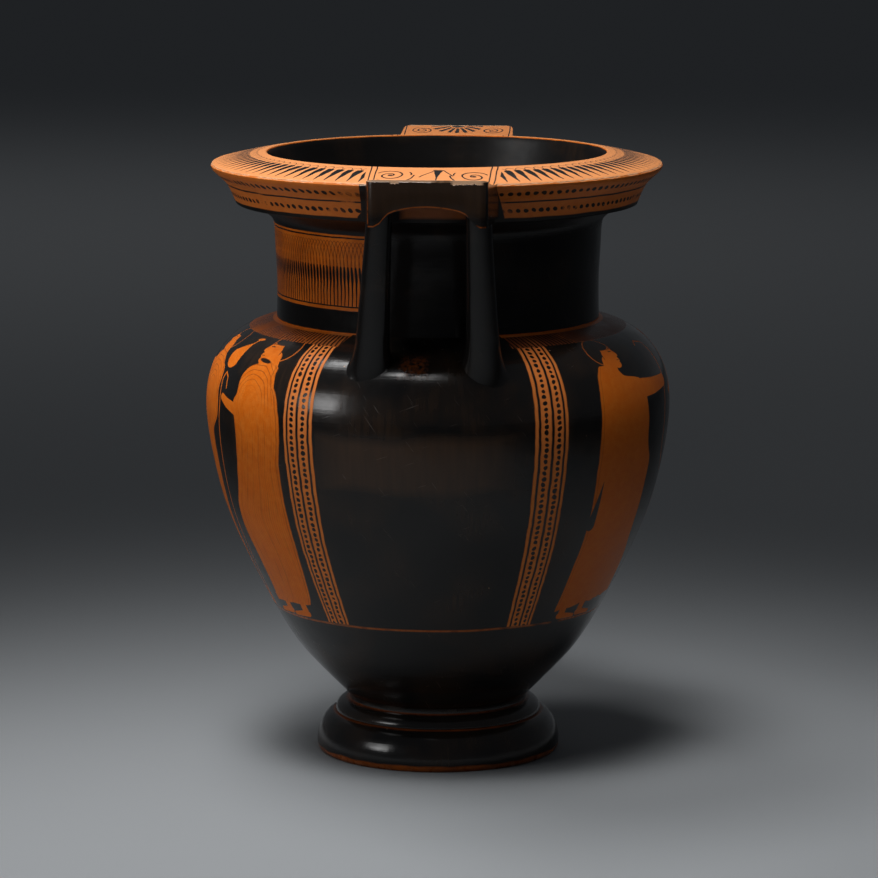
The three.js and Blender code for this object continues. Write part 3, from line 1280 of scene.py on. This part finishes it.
@dataclass
class Neck:
    """The neck: a low upright wall that flares out under the rim, painted on side A."""

    radius: float = 106.3
    wall: float = 6.2
    foot_height: float = 289.9
    panel_top: float = 354.4
    panel_foot: float = 305.7
    panel_half_width: float = 72.0
    zone_half_width: float = 77.0
    flare_height: float = 354.0
    misfire: float = 0.66
    bud_pitch: float = 2.9
    bud_top: float = 28.4
    arch_foot: float = 26.6
    arch_height: float = 18.5
    arch_half_width: float = 6.2

    def build(self) -> bpy.types.Object:
        """Throws the neck as a ring.

        Returns:
            The neck, painted.
        """
        outer = smooth_line([(self.radius, 291), (106.2, 322), (107.2, 341), (107.7, 351.5),
                             (109.0, 356.8), (112.6, 360.2)], 30)
        flare = smooth_line([(112.6, 360.2), (117.2, 363.4), (122, 365.4), (131.2, 366.6)], 10)[1:]
        throat = self.radius - self.wall
        inner = smooth_line([(104.2, 371), (102.2, 359), (100.7, 346), (throat, 318), (throat, 290.4)], 20)
        piece = turn_on_wheel("neck", [(self.radius, self.foot_height)] + outer + flare
                              + [(131.2, 371)] + inner + [(throat, self.foot_height)], closed=True)
        settle(piece, 0.25)
        smooth(piece)
        self.dress(piece)
        return piece

    def ring(self, brush: Brush, z: Field, radius: Field, offset: Field) -> Field:
        """The thin reserved ring where the neck stands on a painted side of the shoulder.

        Args:
            brush: the material being painted.
            z: height.
            radius: distance from the pot's axis.
            offset: degrees from the middle of the painted side, always positive.

        Returns:
            The ring's clay.
        """
        foot = (z + brush.sway(12, 0.5)).under(291.4, 0.5)
        return foot.both(radius.over(104, 1)).both(offset.under(66, 1)) * 0.85

    def dull(self, z: Field) -> Field:
        """The duller gloss of the flare under the rim."""
        return z.over(self.flare_height, 8) * 0.9

    def plain(self) -> bpy.types.Material:
        """Paints the neck black all over.

        Returns:
            The black zone's material.
        """
        brush = Brush("neck_black")
        x, y, z = brush.axes()
        bearing = brush.bearing(x, y)
        ring = self.ring(brush, z, brush.away(x, y), abs(abs(bearing) - 90))
        return fire(brush, Coat(clay=ring, misfire=self.misfire, matt=self.dull(z)), z, bearing)

    def dress(self, piece: bpy.types.Object) -> None:
        """Paints the neck black, but for the chain of buds on side A.

        Args:
            piece: the neck.
        """
        piece.data.materials.append(self.plain())
        piece.data.materials.append(self.buds())
        for face in piece.data.polygons:
            angle = math.degrees(math.atan2(face.center.x, -face.center.y))
            face.material_index = int(abs(angle + 90) < self.zone_half_width)

    def buds(self) -> bpy.types.Material:
        """The panel of side A: buds hanging from tall arches that cross each other.

        Returns:
            The panel's material.
        """
        brush = Brush("neck_buds")
        x, y, z = brush.axes()
        bearing = brush.bearing(x, y)
        offset = abs(bearing + 90)
        radius = brush.away(x, y)
        sway = brush.sway(13, 0.8)
        panel = (offset + sway * 0.4).under(self.panel_half_width, 0.5).both(
            (z + sway * 0.6).within(self.panel_foot, self.panel_top, 0.4)).both(radius.over(104, 1))
        run = (bearing + sway) * mm_per_degree(self.radius)
        height = z - self.panel_foot
        level = height + sway * 0.5
        rules = level.line(46.9, 1.0, 0.35).either(level.line(2.4, 0.9, 0.35))
        # a bud to every pitch, its tail running down to the rule
        width = brush.curve(height, [(3.0, 0.38), (11.0, 0.5), (17.0, 0.72), (22.0, 1.0),
                                     (26.0, 0.9), (self.bud_top, 0.15)])
        bud = abs(run.repeat(self.bud_pitch)).under(width, 0.3).both(
            height.within(2.6, self.bud_top, 0.6))
        # tall arches, each springing from a bud and crossing its neighbours
        share = ((height - self.arch_foot) / self.arch_height).both(1.0).either(0.0)
        swing = brush.math("SQRT", (1 - share * share)) * self.arch_half_width
        arches = joined(abs((run + way).repeat(self.bud_pitch)).under(0.26, 0.32)
                        for way in (swing, swing * -1))
        arches = arches.both(height.within(25.5, 44.6, 0.5))
        shade = height.line(23.5, 5.0, 5.0) * 0.5
        marks = joined((rules, bud, arches * 0.7, shade))
        coat = Coat(clay=panel.without(marks).either(self.ring(brush, z, radius, offset)),
                    slip_and_shade=panel.both(brush.noise(19, 2).over(0.5, 0.4)) * 0.3,
                    misfire=self.misfire, matt=self.dull(z))
        return fire(brush, coat, z, bearing)


@dataclass(frozen=True)
class Palmette:
    """The drawing on top of a handle plate, which runs on over the rim's top.

    middle is the drawing's x, and turned is True for the far plate's drawing.
    """

    middle: float
    turned: bool

    def paint(self, brush: Brush, x: Field, y: Field) -> Field:
        """Where the plate's drawing is black."""
        return self.fan(brush, x, y) if self.turned else self.spirals(brush, x, y)

    def polar(self, brush: Brush, across: Field, out: Field,
              squash: float = 1.0) -> tuple[Field, Field]:
        """Distance from a point of the plate, and the share of a turn round it."""
        turn = brush.math("ARCTAN2", out, across) / (2 * math.pi)
        return brush.away(across, out, 1.0, squash), turn

    def coil(self, polar: tuple[Field, Field], pitch: float, half_line: float, radius: float,
             start: float = 0.0) -> Field:
        """A spiral line.

        Args:
            polar: distance from its eye, and the share of a turn round it.
            pitch: gap from one turn of the line to the next.
            half_line: half the line's width.
            radius: how far out the spiral goes.
            start: how much nearer to its eye the line begins.

        Returns:
            Where the line lies.
        """
        away, turn = polar
        line = abs((away - turn * pitch + start).repeat(pitch)).under(half_line, 0.35)
        return line.both(away.under(radius, 0.4))

    def spirals(self, brush: Brush, x: Field, y: Field) -> Field:
        """Two spirals with a leaf between them, for the near plate.

        Args:
            brush: the material being painted.
            x: millimetres across the plate.
            y: millimetres from the pot's axis, below zero at the near plate.

        Returns:
            Where the drawing is black.
        """
        side = x - self.middle + brush.sway(9, 1.6)
        reach = y * -1
        p, q = abs(side) - 26.5, reach - 129.5
        away, turn = self.polar(brush, p, q)
        coil = self.coil((away, turn), 5.4, 0.62, 10.6, 0.6)
        eye = away.under(1.5, 0.4)
        outer = abs(away - 14.2 - turn * 2.0).under(0.55, 0.35).both(q.over(-6, 2)).both(p.under(8, 2))
        p, q = side - 3.0, reach - 139
        leaf = abs(p).under((reach - 118) * -0.17 + 3.3, 0.4).both(reach.within(118.0, 136.5, 0.6))
        stem = abs(p).under(0.5, 0.3).both(reach.within(133, 150, 1))
        tendrils = []
        for lean, foot, beside in ((0.55, 118.0, 3.0), (-0.6, 121.0, -3.0)):
            line = abs(p - (reach - foot) * lean - beside).under(0.5, 0.35)
            tendrils.append(line.both(reach.within(foot, foot + 13, 1)))
        fan = brush.math("ARCTAN2", p, q) * (180 / math.pi)
        leaves = abs(fan.repeat(24)).under(7.5, 1.5).both(abs(fan).under(60, 2)).both(
            brush.away(p, q).within(11, 27, 0.6))
        return joined((coil, eye, outer, *tendrils, leaf, stem, leaves))

    def fan(self, brush: Brush, x: Field, y: Field) -> Field:
        """A palmette opening towards the pot, with curled lines beside it, for the far plate.

        Args:
            brush: the material being painted.
            x: millimetres across the plate.
            y: millimetres from the pot's axis.

        Returns:
            Where the drawing is black.
        """
        side = x - self.middle + brush.sway(8, 1.4)
        inwards = (y - 185.5) * -1
        away = brush.away(side, inwards)
        fan = brush.math("ARCTAN2", side, inwards) * (180 / math.pi)
        length = brush.noise(15, 1) * 7 + 14.5
        leaf = abs(fan.repeat(21)).under((away - 4) * -0.22 + 7.6, 1.6).both(away.over(6.5, 0.5)).both(
            (away - length).under(0.0, 0.6))
        heart = away.under(5.0, 0.5)
        high = self.coil(self.polar(brush, abs(side) - 24.0, y - 174.5, 1.3), 3.6, 0.55, 7.6)
        low = self.coil(self.polar(brush, abs(side) - 26.5, y - 152.0), 3.9, 0.6, 9.6)
        return joined((leaf, heart, high, low))

    def frame(self, brush: Brush, x: Field) -> Field:
        """The pair of lines down each side of the plate."""
        beside = abs(x - self.middle + brush.sway(16, 0.9))
        return beside.line(36.2, 0.85).either(beside.line(39.7, 0.85))


NEAR_PALMETTE = Palmette(6.5, False)
FAR_PALMETTE = Palmette(0.0, True)


@dataclass(frozen=True)
class BudChain:
    """Black teardrop buds on the rim's top, pointing outwards, linked by thin arcs."""

    pitch: float = 3.15
    foot: float = 122.6
    length: float = 22.0
    middle_radius: float = 131.0
    arc_middle: float = 122.5
    arc_radius: float = 3.4

    def paint(self, brush: Brush, bearing: Field, radius: Field) -> Field:
        """Where the chain is black.

        Args:
            brush: the material being painted.
            bearing: degrees round the pot.
            radius: distance from the rim's axis.

        Returns:
            The buds and their links.
        """
        turned = bearing + brush.sway(9, 0.7)
        scale = mm_per_degree(self.middle_radius)
        across = turned.repeat(self.pitch) * scale
        body = (radius + brush.sway(6, 1.6) - self.foot) / self.length
        width = brush.curve(body, [(0, 1.5), (0.06, 2.5), (0.25, 2.5), (0.5, 1.7), (0.8, 0.75),
                                   (1.0, 0.25)])
        bud = abs(across).under(width, 0.4).both(body.within(0, 1, 0.03))
        between = (turned + self.pitch / 2).repeat(self.pitch) * scale
        arc = abs(brush.away(between, radius - self.arc_middle, 1.0, 0.5) - self.arc_radius)
        link = arc.under(0.28, 0.35).both(radius.under(self.arc_middle + 0.3, 0.5))
        return bud.either(link * 0.8)


@dataclass
class Rim:
    """The wide overhanging rim: chain of buds on top, two rows of dots on its side."""

    shift: float = -0.8
    chain: BudChain = BudChain()
    mouth_radius: float = 110.0
    side_radius: float = 129.0
    side_foot: float = 366.9
    plate_half_width: float = 66.0
    drawing_half_width: float = 34.5
    chain_edge: float = 42.5
    band_foot: float = 369.4
    middle_line: float = 379.9
    dot_rows: tuple[Point, ...] = ((385.6, 0.0), (374.0, 1.1))
    dot_pitch: float = 2.3

    def build(self) -> bpy.types.Object:
        """Throws the rim as a ring on the neck's flare.

        Returns:
            The rim, painted.
        """
        side = smooth_line([(132.6, 368.4), (135.9, 376), (139.0, 381), (143.9, 385.6), (147.4, 389)], 22)
        top = smooth_line([(146.6, 393.1), (131, 396.8), (113.9, 399.75)], 16)
        inner = smooth_line([(111.2, 398.4), (109.6, 392), (106.6, 381), (104.2, 371)], 14)
        outline = ([(130.6, 366.3), (131.9, 367.0)] + side
                   + [(148.15, 390.4), (148.25, 391.4), (147.7, 392.5)] + top
                   + [(112.9, 400.0), (111.9, 399.7)] + inner + [(106.5, 366.8)])
        piece = turn_on_wheel("rim", outline, closed=True)
        settle(piece, 0.25)
        bpy.ops.object.mode_set(mode="EDIT")
        bpy.ops.mesh.select_all(action="SELECT")
        bpy.ops.transform.translate(value=(self.shift * MM, 0, 0))
        bpy.ops.object.mode_set(mode="OBJECT")
        smooth(piece, 30)
        self.dress(piece)
        return piece

    def dress(self, piece: bpy.types.Object) -> None:
        """Paints the top, the side and the black inside each as a zone of its own.

        Args:
            piece: the rim.
        """
        for zone in (self.black(), self.top(Side.A), self.side(), self.top(Side.B),
                     self.plate_zone(NEAR_PALMETTE), self.plate_zone(FAR_PALMETTE)):
            piece.data.materials.append(zone)
        _, top_a, side, top_b, near_plate, far_plate = range(6)
        for face in piece.data.polygons:
            middle = face.center / MM
            radius = math.hypot(middle.x, middle.y)
            if face.normal.z > 0.55 and radius > self.mouth_radius:
                if abs(middle.x) < self.plate_half_width:
                    face.material_index = near_plate if middle.y < 0 else far_plate
                else:
                    face.material_index = top_a if middle.x < 0 else top_b
            elif radius > self.side_radius and middle.z > self.side_foot:
                face.material_index = side

    def radius(self, brush: Brush, x: Field, y: Field) -> Field:
        """Distance from the rim's own axis."""
        return brush.away(x - self.shift, y)

    def black(self) -> bpy.types.Material:
        """The black inside of the mouth and underside of the rim.

        Returns:
            The zone's material.
        """
        brush = Brush("rim_black")
        x, y, z = brush.axes()
        lip = (z + brush.sway(15, 0.8)).over(399.2, 0.4)
        return fire(brush, Coat(clay=lip, misfire=0.62, matt=0.85), z, brush.bearing(x, y))

    def edge_wear_and_highlight(self, brush: Brush, z: Field, radius: Field) -> Field:
        """A thin pale line along the rim's upper outer edge: wear and small chips, partly a painted
        highlight.

        Args:
            brush: the material being painted.
            z: height.
            radius: distance from the rim's axis.

        Returns:
            Where the edge is chipped and where its painted highlight lies.
        """
        edge = (z + brush.sway(2.6, 2.4, 2) * 0.7).line(392.3, 0.9, 0.5).both(radius.over(146.4, 0.4))
        return edge * (brush.noise(9, 2).over(0.46, 0.15) * 0.6 + 0.1)

    def top(self, side: Side) -> bpy.types.Material:
        """The rim's top over a painted side, with its chain of buds.

        Args:
            side: the painted side.

        Returns:
            The zone's material.
        """
        brush = Brush(f"rim_top_{side.name.lower()}")
        x, y, z = brush.axes()
        bearing, radius = brush.bearing(x, y), self.radius(brush, x, y)
        marks = self.chain.paint(brush, bearing, radius)
        # the top's paler clay is partly painted sheen from the light above
        coat = Coat(clay=1 - marks, chips_and_highlight=self.edge_wear_and_highlight(brush, z, radius), tone=0.75)
        return fire(brush, coat, radius, bearing)

    def plate_zone(self, drawing: Palmette) -> bpy.types.Material:
        """The rim's top at a plate: the plate's drawing, framed, between the chains of buds.

        Args:
            drawing: the plate's drawing.

        Returns:
            The zone's material.
        """
        brush = Brush("rim_top_far" if drawing.turned else "rim_top_near")
        x, y, z = brush.axes()
        bearing, radius = brush.bearing(x, y), self.radius(brush, x, y)
        beside = abs(x - drawing.middle)
        chain = self.chain.paint(brush, bearing, radius).both(beside.over(self.chain_edge, 0.5))
        inner = drawing.paint(brush, x, y).both(beside.under(self.drawing_half_width, 0.5))
        marks = joined((chain, inner, drawing.frame(brush, x)))
        # the top's paler clay is partly painted sheen from the light above
        coat = Coat(clay=1 - marks, chips_and_highlight=self.edge_wear_and_highlight(brush, z, radius), tone=0.75)
        return fire(brush, coat, radius, bearing)

    def side(self) -> bpy.types.Material:
        """The rim's side: a reserved band with a middle line between two rows of dots.

        Returns:
            The zone's material.
        """
        brush = Brush("rim_side")
        x, y, z = brush.axes()
        bearing, radius = brush.bearing(x, y), self.radius(brush, x, y)
        height = z + brush.sway(20, 0.9)
        shaky = bearing + brush.sway(5, 0.9)
        strokes = [height.line(self.middle_line, 1.1, 0.35)]
        for row, stagger in self.dot_rows:
            up = height + brush.sway(7, 1.2, 0) - row
            across = (shaky + stagger).repeat(self.dot_pitch) * 2.5 + up * 0.35
            strokes.append(brush.away(across, up, 1.0, 1.5).under(1.45 + brush.noise(6, 1) * 0.6, 0.4))
        worn = brush.noise(26, 2).over(0.64, 0.1).both(brush.noise(3, 2).over(0.45, 0.2))
        marks = joined(strokes).without(worn)
        # the band ends slantwise at the near handle, and square at the far one
        near_a = (x * -1).over((height - self.band_foot).under(2.2, 3) * 2.6 + 38.4, 0.5).both(
            x.under(0, 1))
        near_b = x.over((height - 390) * -0.19 + 47.8, 0.5)
        ends = near_a.either(near_b).both(abs(bearing).under(163, 0.5))
        band = ends.both(height.within(self.band_foot, 395, 0.6))
        # the rim's band under the near plate's arch, dulled and darkened as painted shade
        under_plate = x.within(-12, 28, 5).both(y.under(0, 1)).both(height.within(370, 377, 2)) * 0.6
        coat = Coat(clay=band.without(marks).either(under_plate), slip_and_shade=under_plate * 0.4,
                    chips_and_highlight=self.edge_wear_and_highlight(brush, z, radius), tone=0.2, matt=0.9)
        return fire(brush, coat, z, bearing)


@dataclass
class Handle:
    """One handle: a plate that dips at the rim and rises outwards, on two splayed columns.

    turn is the angle that brings it to its side of the pot. plate_shift and foot_shift are
    how far the plate and the columns' feet stand off the middle, in x.
    """
    name: str
    turn: float
    plate_shift: float
    foot_shift: float
    drawing: Palmette
    top: float = 399.6
    reach: float = 185.0
    outer_half_width: float = 37.6
    rim_half_width: float = 41.0
    root: float = 131.0
    dip: float = 393.1
    dip_reach: float = 144.0
    corner: float = 4.5
    face_line: tuple[Point, ...] = ((0, 382.35), (10, 381.7), (18, 380.2), (23.2, 378.5),
                                    (26.5, 375.6), (29.6, 371.8), (33.0, 369.9), (36.0, 369.7),
                                    (41.0, 371.2))
    head_height: float = 384.0
    head_reach: float = 166.0
    head_half_spacing: float = 30.6
    foot_height: float = 260.0
    foot_reach: float = 124.5
    foot_half_spacing: float = 36.3
    column_line: tuple[Point, ...] = ((17.5, 0), (14.2, 0.055), (12.2, 0.12), (11.1, 0.21),
                                      (10.4, 0.34), (9.5, 0.55), (8.4, 0.84), (8.0, 1.0))
    flare_share: float = 0.27
    flare_spread: float = 0.7
    plate_edge: float = 0.8
    top_from: float = 388.0
    across: int = 110
    along: int = 64

    def plan(self, u: float, v: float) -> Point:
        """A point of the plate seen from above.

        Args:
            u: -1 to 1 across the plate.
            v: 0 at the root to 1 at the outer edge.

        Returns:
            x and y, before the plate's sideways shift.
        """
        y = -(self.root + (self.reach - self.root) * v)
        half = self.rim_half_width + (self.outer_half_width - self.rim_half_width) * v
        past = max(0.0, -y - (self.reach - self.corner))
        half -= self.corner - math.sqrt(max(self.corner ** 2 - past ** 2, 0.0))
        return half * u, y

    def crown(self, y: float) -> float:
        """The plate's top: low where it leaves the rim, curving up outwards.

        Args:
            y: how far out, below zero.

        Returns:
            Its height there.
        """
        if -y <= self.dip_reach:
            return self.dip
        t = (-y - self.dip_reach) / (self.reach - self.dip_reach)
        return self.dip * (1 - t) ** 2 + (self.dip + 0.8) * 2 * t * (1 - t) + self.top * t * t

    def build_plate(self) -> bpy.types.Object:
        """Models the plate: a grid laid out to its plan, closed by an arched underside.

        Returns:
            The plate, with its edges softened.
        """
        deselect()
        bpy.ops.mesh.primitive_grid_add(x_subdivisions=self.across, y_subdivisions=self.along,
                                        size=2 * MM, location=(0, 0, 0))
        plate = bpy.context.object
        bpy.ops.object.mode_set(mode="EDIT")
        bpy.ops.mesh.select_all(action="SELECT")
        bpy.ops.mesh.duplicate_move(TRANSFORM_OT_translate={"value": (0, 0, -MM)})
        bpy.ops.mesh.select_all(action="DESELECT")
        bpy.ops.mesh.select_non_manifold()
        bpy.ops.mesh.bridge_edge_loops()
        bpy.ops.object.mode_set(mode="OBJECT")
        lower = smooth_line(self.face_line, 90)
        for vertex in plate.data.vertices:
            u, v = vertex.co.x / MM, (1 - vertex.co.y / MM) / 2
            x, y = self.plan(u, v)
            under = float(np.interp(abs(x), [p[0] for p in lower], [p[1] for p in lower]))
            z = self.crown(y) if vertex.co.z > -0.5 * MM else under
            vertex.co = Vector(((x + self.plate_shift) * MM, y * MM, z * MM))
        bpy.ops.object.mode_set(mode="EDIT")
        face_outwards()
        soften = plate.modifiers.new("soften", "BEVEL")
        soften.width, soften.segments, soften.limit_method = self.plate_edge * MM, 3, "ANGLE"
        soften.angle_limit = math.radians(50)
        bpy.ops.object.modifier_apply(modifier=soften.name)
        return plate

    def build_column(self, side: int) -> bpy.types.Object:
        """Draws up one round column, flaring where it is luted to the shoulder.

        Args:
            side: -1 or 1, which column of the pair.

        Returns:
            The column, in its place under the plate.
        """
        foot = Vector((self.foot_shift + side * self.foot_half_spacing, -self.foot_reach,
                       self.foot_height))
        head = Vector((self.plate_shift + side * self.head_half_spacing, -self.head_reach,
                       self.head_height))
        length = (head - foot).length
        flare = smooth_line([(radius, share * length) for radius, share in self.column_line], 36)
        deselect()
        bpy.ops.mesh.primitive_circle_add(vertices=40, radius=flare[0][0] * MM, fill_type="NGON")
        column = bpy.context.object
        bpy.ops.object.mode_set(mode="EDIT")
        bpy.ops.mesh.select_all(action="SELECT")
        for (r0, z0), (r1, z1) in zip(flare, flare[1:]):
            bpy.ops.mesh.extrude_region_move(
                TRANSFORM_OT_translate={"value": (0, 0, (z1 - z0) * MM)})
            bpy.ops.transform.resize(value=(r1 / r0, r1 / r0, 1),
                                     center_override=(0, 0, z1 * MM))
        face_outwards()
        for vertex in column.data.vertices:
            low = max(0.0, 1 - vertex.co.z / (self.flare_share * length * MM))
            vertex.co.x *= 1 + self.flare_spread * low * low
        tilt = Vector((0, 0, 1)).rotation_difference((head - foot).normalized())
        column.matrix_world = Matrix.Translation(foot * MM) @ tilt.to_matrix().to_4x4()
        bpy.ops.object.transform_apply(location=True, rotation=True, scale=True)
        return column

    def build(self) -> bpy.types.Object:
        """Joins plate and columns, turns the handle to its side and dresses it.

        Returns:
            The handle, painted.
        """
        plate = self.build_plate()
        columns = [self.build_column(side) for side in (-1, 1)]
        deselect()
        for part in (plate, *columns):
            part.select_set(True)
        bpy.context.view_layer.objects.active = plate
        bpy.ops.object.join()
        handle = bpy.context.object
        handle.name = handle.data.name = self.name
        handle.matrix_world = Matrix.Rotation(self.turn, 4, "Z")
        pick(handle)
        bpy.ops.object.transform_apply(location=True, rotation=True, scale=True)
        settle(handle, 0.3, 20)
        smooth(handle, 42)
        self.dress(handle)
        return handle

    def dress(self, handle: bpy.types.Object) -> None:
        """Paints the plate's top as reserved clay with its drawing, and the rest black.

        Args:
            handle: the handle.
        """
        handle.data.materials.append(self.black())
        handle.data.materials.append(self.plate_top())
        for face in handle.data.polygons:
            face.material_index = int(face.normal.z > 0.6 and face.center.z > self.top_from * MM)

    def black(self) -> bpy.types.Material:
        """Black gloss, brownish on the near plate's face, with its top edge chipped and lined in pale clay
        that is partly a painted highlight.

        Returns:
            The material of all but the plate's top.
        """
        brush = Brush(f"{self.name}_black")
        x, y, z = brush.axes()
        reach = abs(y)
        ragged = brush.sway(4.2, 2.6, 3, 0.65)
        # a pale line along the plate's top front edge: wear, partly a painted highlight
        edge = (z + ragged * 0.4).over(398.3, 0.4).both(reach.over(181, 1))
        chips_and_highlight = [edge * (brush.noise(11, 2).over(0.42, 0.15) * 0.6 + 0.3)]
        coat = Coat(misfire=0.62, matt=0.12)
        if not self.drawing.turned:
            # two larger chips, and wear along the arch and down the left flank
            right = (z + ragged * 2.2).over(397.0, 0.6).both(x.within(23, 42, 2))
            left = (z + ragged * 2.0).over(397.4, 0.6).both(x.within(-15, -10, 1))
            chips_and_highlight.append(right.either(left).both(reach.over(183, 1)))
            beside = x - self.plate_shift
            arch = brush.curve(abs(beside), smooth_line(self.face_line, 12), False)
            seam = (z - arch).line(0.7, 0.8, 0.5).both(reach.over(183.4, 0.6))
            flank = beside.line(-36.9, 0.9, 0.5).both(z.over(372, 1)).both(reach.over(183, 1))
            coat.wear = seam.either(flank) * brush.noise(9, 2).over(0.46, 0.15) * 0.36
            coat.browned_and_reflection = z.over(377.0, 6).both(reach.over(183.5, 0.6)) * 0.5
        coat.chips_and_highlight = joined(chips_and_highlight)
        return fire(brush, coat, z, brush.bearing(x, y))

    def plate_top(self) -> bpy.types.Material:
        """The plate's top, carrying on the drawing of the rim beside it.

        Returns:
            The top's material.
        """
        brush = Brush(f"{self.name}_top")
        x, y, _ = brush.axes()
        reach = abs(y)
        marks = self.drawing.paint(brush, x, y).either(self.drawing.frame(brush, x))
        # chips and a pale line along the outer edge, partly a painted highlight
        edge = (reach + brush.sway(5, 2.0, 2)).over(184.2, 0.5)
        # the top's paler clay is partly painted sheen from the light above
        coat = Coat(clay=1 - marks, chips_and_highlight=edge * brush.noise(11, 2).over(0.36, 0.12), tone=0.6)
        return fire(brush, coat, reach, brush.bearing(x, y))


# ---- setting ---------------------------------------------------------------------------
@dataclass(frozen=True)
class Softbox:
    """One soft area light: places in metres, size in metres, power in watts.

    spread is the angle that its grid lets through, in degrees.
    """

    name: str
    place: tuple[float, float, float]
    target: tuple[float, float, float]
    size: tuple[float, float]
    power: float
    spread: float

    def hang(self) -> None:
        """Hangs the light in its place and aims it."""
        lamp = bpy.data.lights.new(self.name, "AREA")
        lamp.shape, lamp.size, lamp.size_y, lamp.energy = "RECTANGLE", *self.size, self.power
        lamp.spread = math.radians(self.spread)
        holder = bpy.data.objects.new(self.name, lamp)
        holder.location = self.place
        aim = Vector(self.target) - Vector(self.place)
        holder.rotation_euler = aim.to_track_quat("-Z", "Y").to_euler()
        bpy.context.scene.collection.objects.link(holder)


SOFTBOXES = (
    Softbox("key", (-0.81, -0.13, 1.7), (-0.42, -0.8, 0), (1.6, 0.5), 8.5, 60),
    Softbox("overhead", (-0.2, -0.6, 2.2), (0.03, -0.09, 0), (1.0, 0.8), 2.4, 26),
    Softbox("front_fill", (-2.3, -1.5, 1.1), (0.3, 0.4, 0.3), (1.2, 1.0), 1.2, 33),
    Softbox("backdrop", (-0.8, 3.4, 2.6), (-0.8, 2.6, 0), (3.0, 2.0), 4.5, 90),
)


@dataclass
class Setting:
    """The floor, the studio light and the camera."""

    lens: float = 179.7
    lens_shift: float = 0.0011
    distance: float = 2.870
    height: float = 0.6795
    pitch: float = 9.33
    azimuth: float = 4.5
    floor_size: float = 16.0
    floor_colour: Colour = (0.172, 0.180, 0.187)
    room_colour: Colour = (0.8, 0.85, 0.92)
    room_strength: float = 0.085

    def floor(self) -> None:
        """Lays a plain pale floor."""
        deselect()
        bpy.ops.mesh.primitive_plane_add(size=self.floor_size)
        floor = bpy.context.object
        floor.name = "floor"
        brush = Brush("plain_floor")
        shader = brush.add("ShaderNodeBsdfPrincipled")
        shader.inputs["Base Color"].default_value = (*self.floor_colour, 1)
        shader.inputs["Roughness"].default_value = 0.9
        shader.inputs["Specular IOR Level"].default_value = 0.1
        output = brush.add("ShaderNodeOutputMaterial")
        brush.put(output.inputs["Surface"], shader.outputs[0])
        floor.data.materials.append(brush.material)

    def light(self) -> None:
        """A key on the left, weaker lights overhead and in front, one behind, and a dim room."""
        for box in SOFTBOXES:
            box.hang()
        room = bpy.data.worlds.new("room")
        bpy.context.scene.world = room
        room.use_nodes = True
        sky = room.node_tree.nodes["Background"]
        sky.inputs["Color"].default_value = (*self.room_colour, 1)
        sky.inputs["Strength"].default_value = self.room_strength
        bpy.context.scene.view_settings.view_transform = "Standard"

    def camera(self) -> None:
        """A long lens at table height, turned a little towards side B."""
        turn = math.radians(self.azimuth)
        lens = bpy.data.cameras.new("camera")
        lens.lens, lens.sensor_width, lens.shift_x = self.lens, 36, self.lens_shift
        holder = bpy.data.objects.new("camera", lens)
        holder.location = (math.sin(turn) * self.distance, -math.cos(turn) * self.distance, self.height)
        holder.rotation_euler = (math.radians(90 - self.pitch), 0, turn)
        bpy.context.scene.collection.objects.link(holder)
        bpy.context.scene.camera = holder


def main() -> None:
    """Builds and dresses the krater, section by section."""
    setting = Setting()
    setting.camera()
    setting.light()
    setting.floor()
    sections: list[Callable[[], bpy.types.Object]] = [
        Foot().build, Bowl().build, Neck().build, Rim().build,
        Handle("near_handle", 0.0, 7.5, 2.8, NEAR_PALMETTE).build,
        Handle("far_handle", math.pi, 0.0, 0.0, FAR_PALMETTE).build,
    ]
    for build in sections:
        piece = build()
        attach(piece, "root")
        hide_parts("krater")
        log.info("%s: %d faces", piece.name, len(piece.data.polygons))


if __name__ == "__main__":
    main()
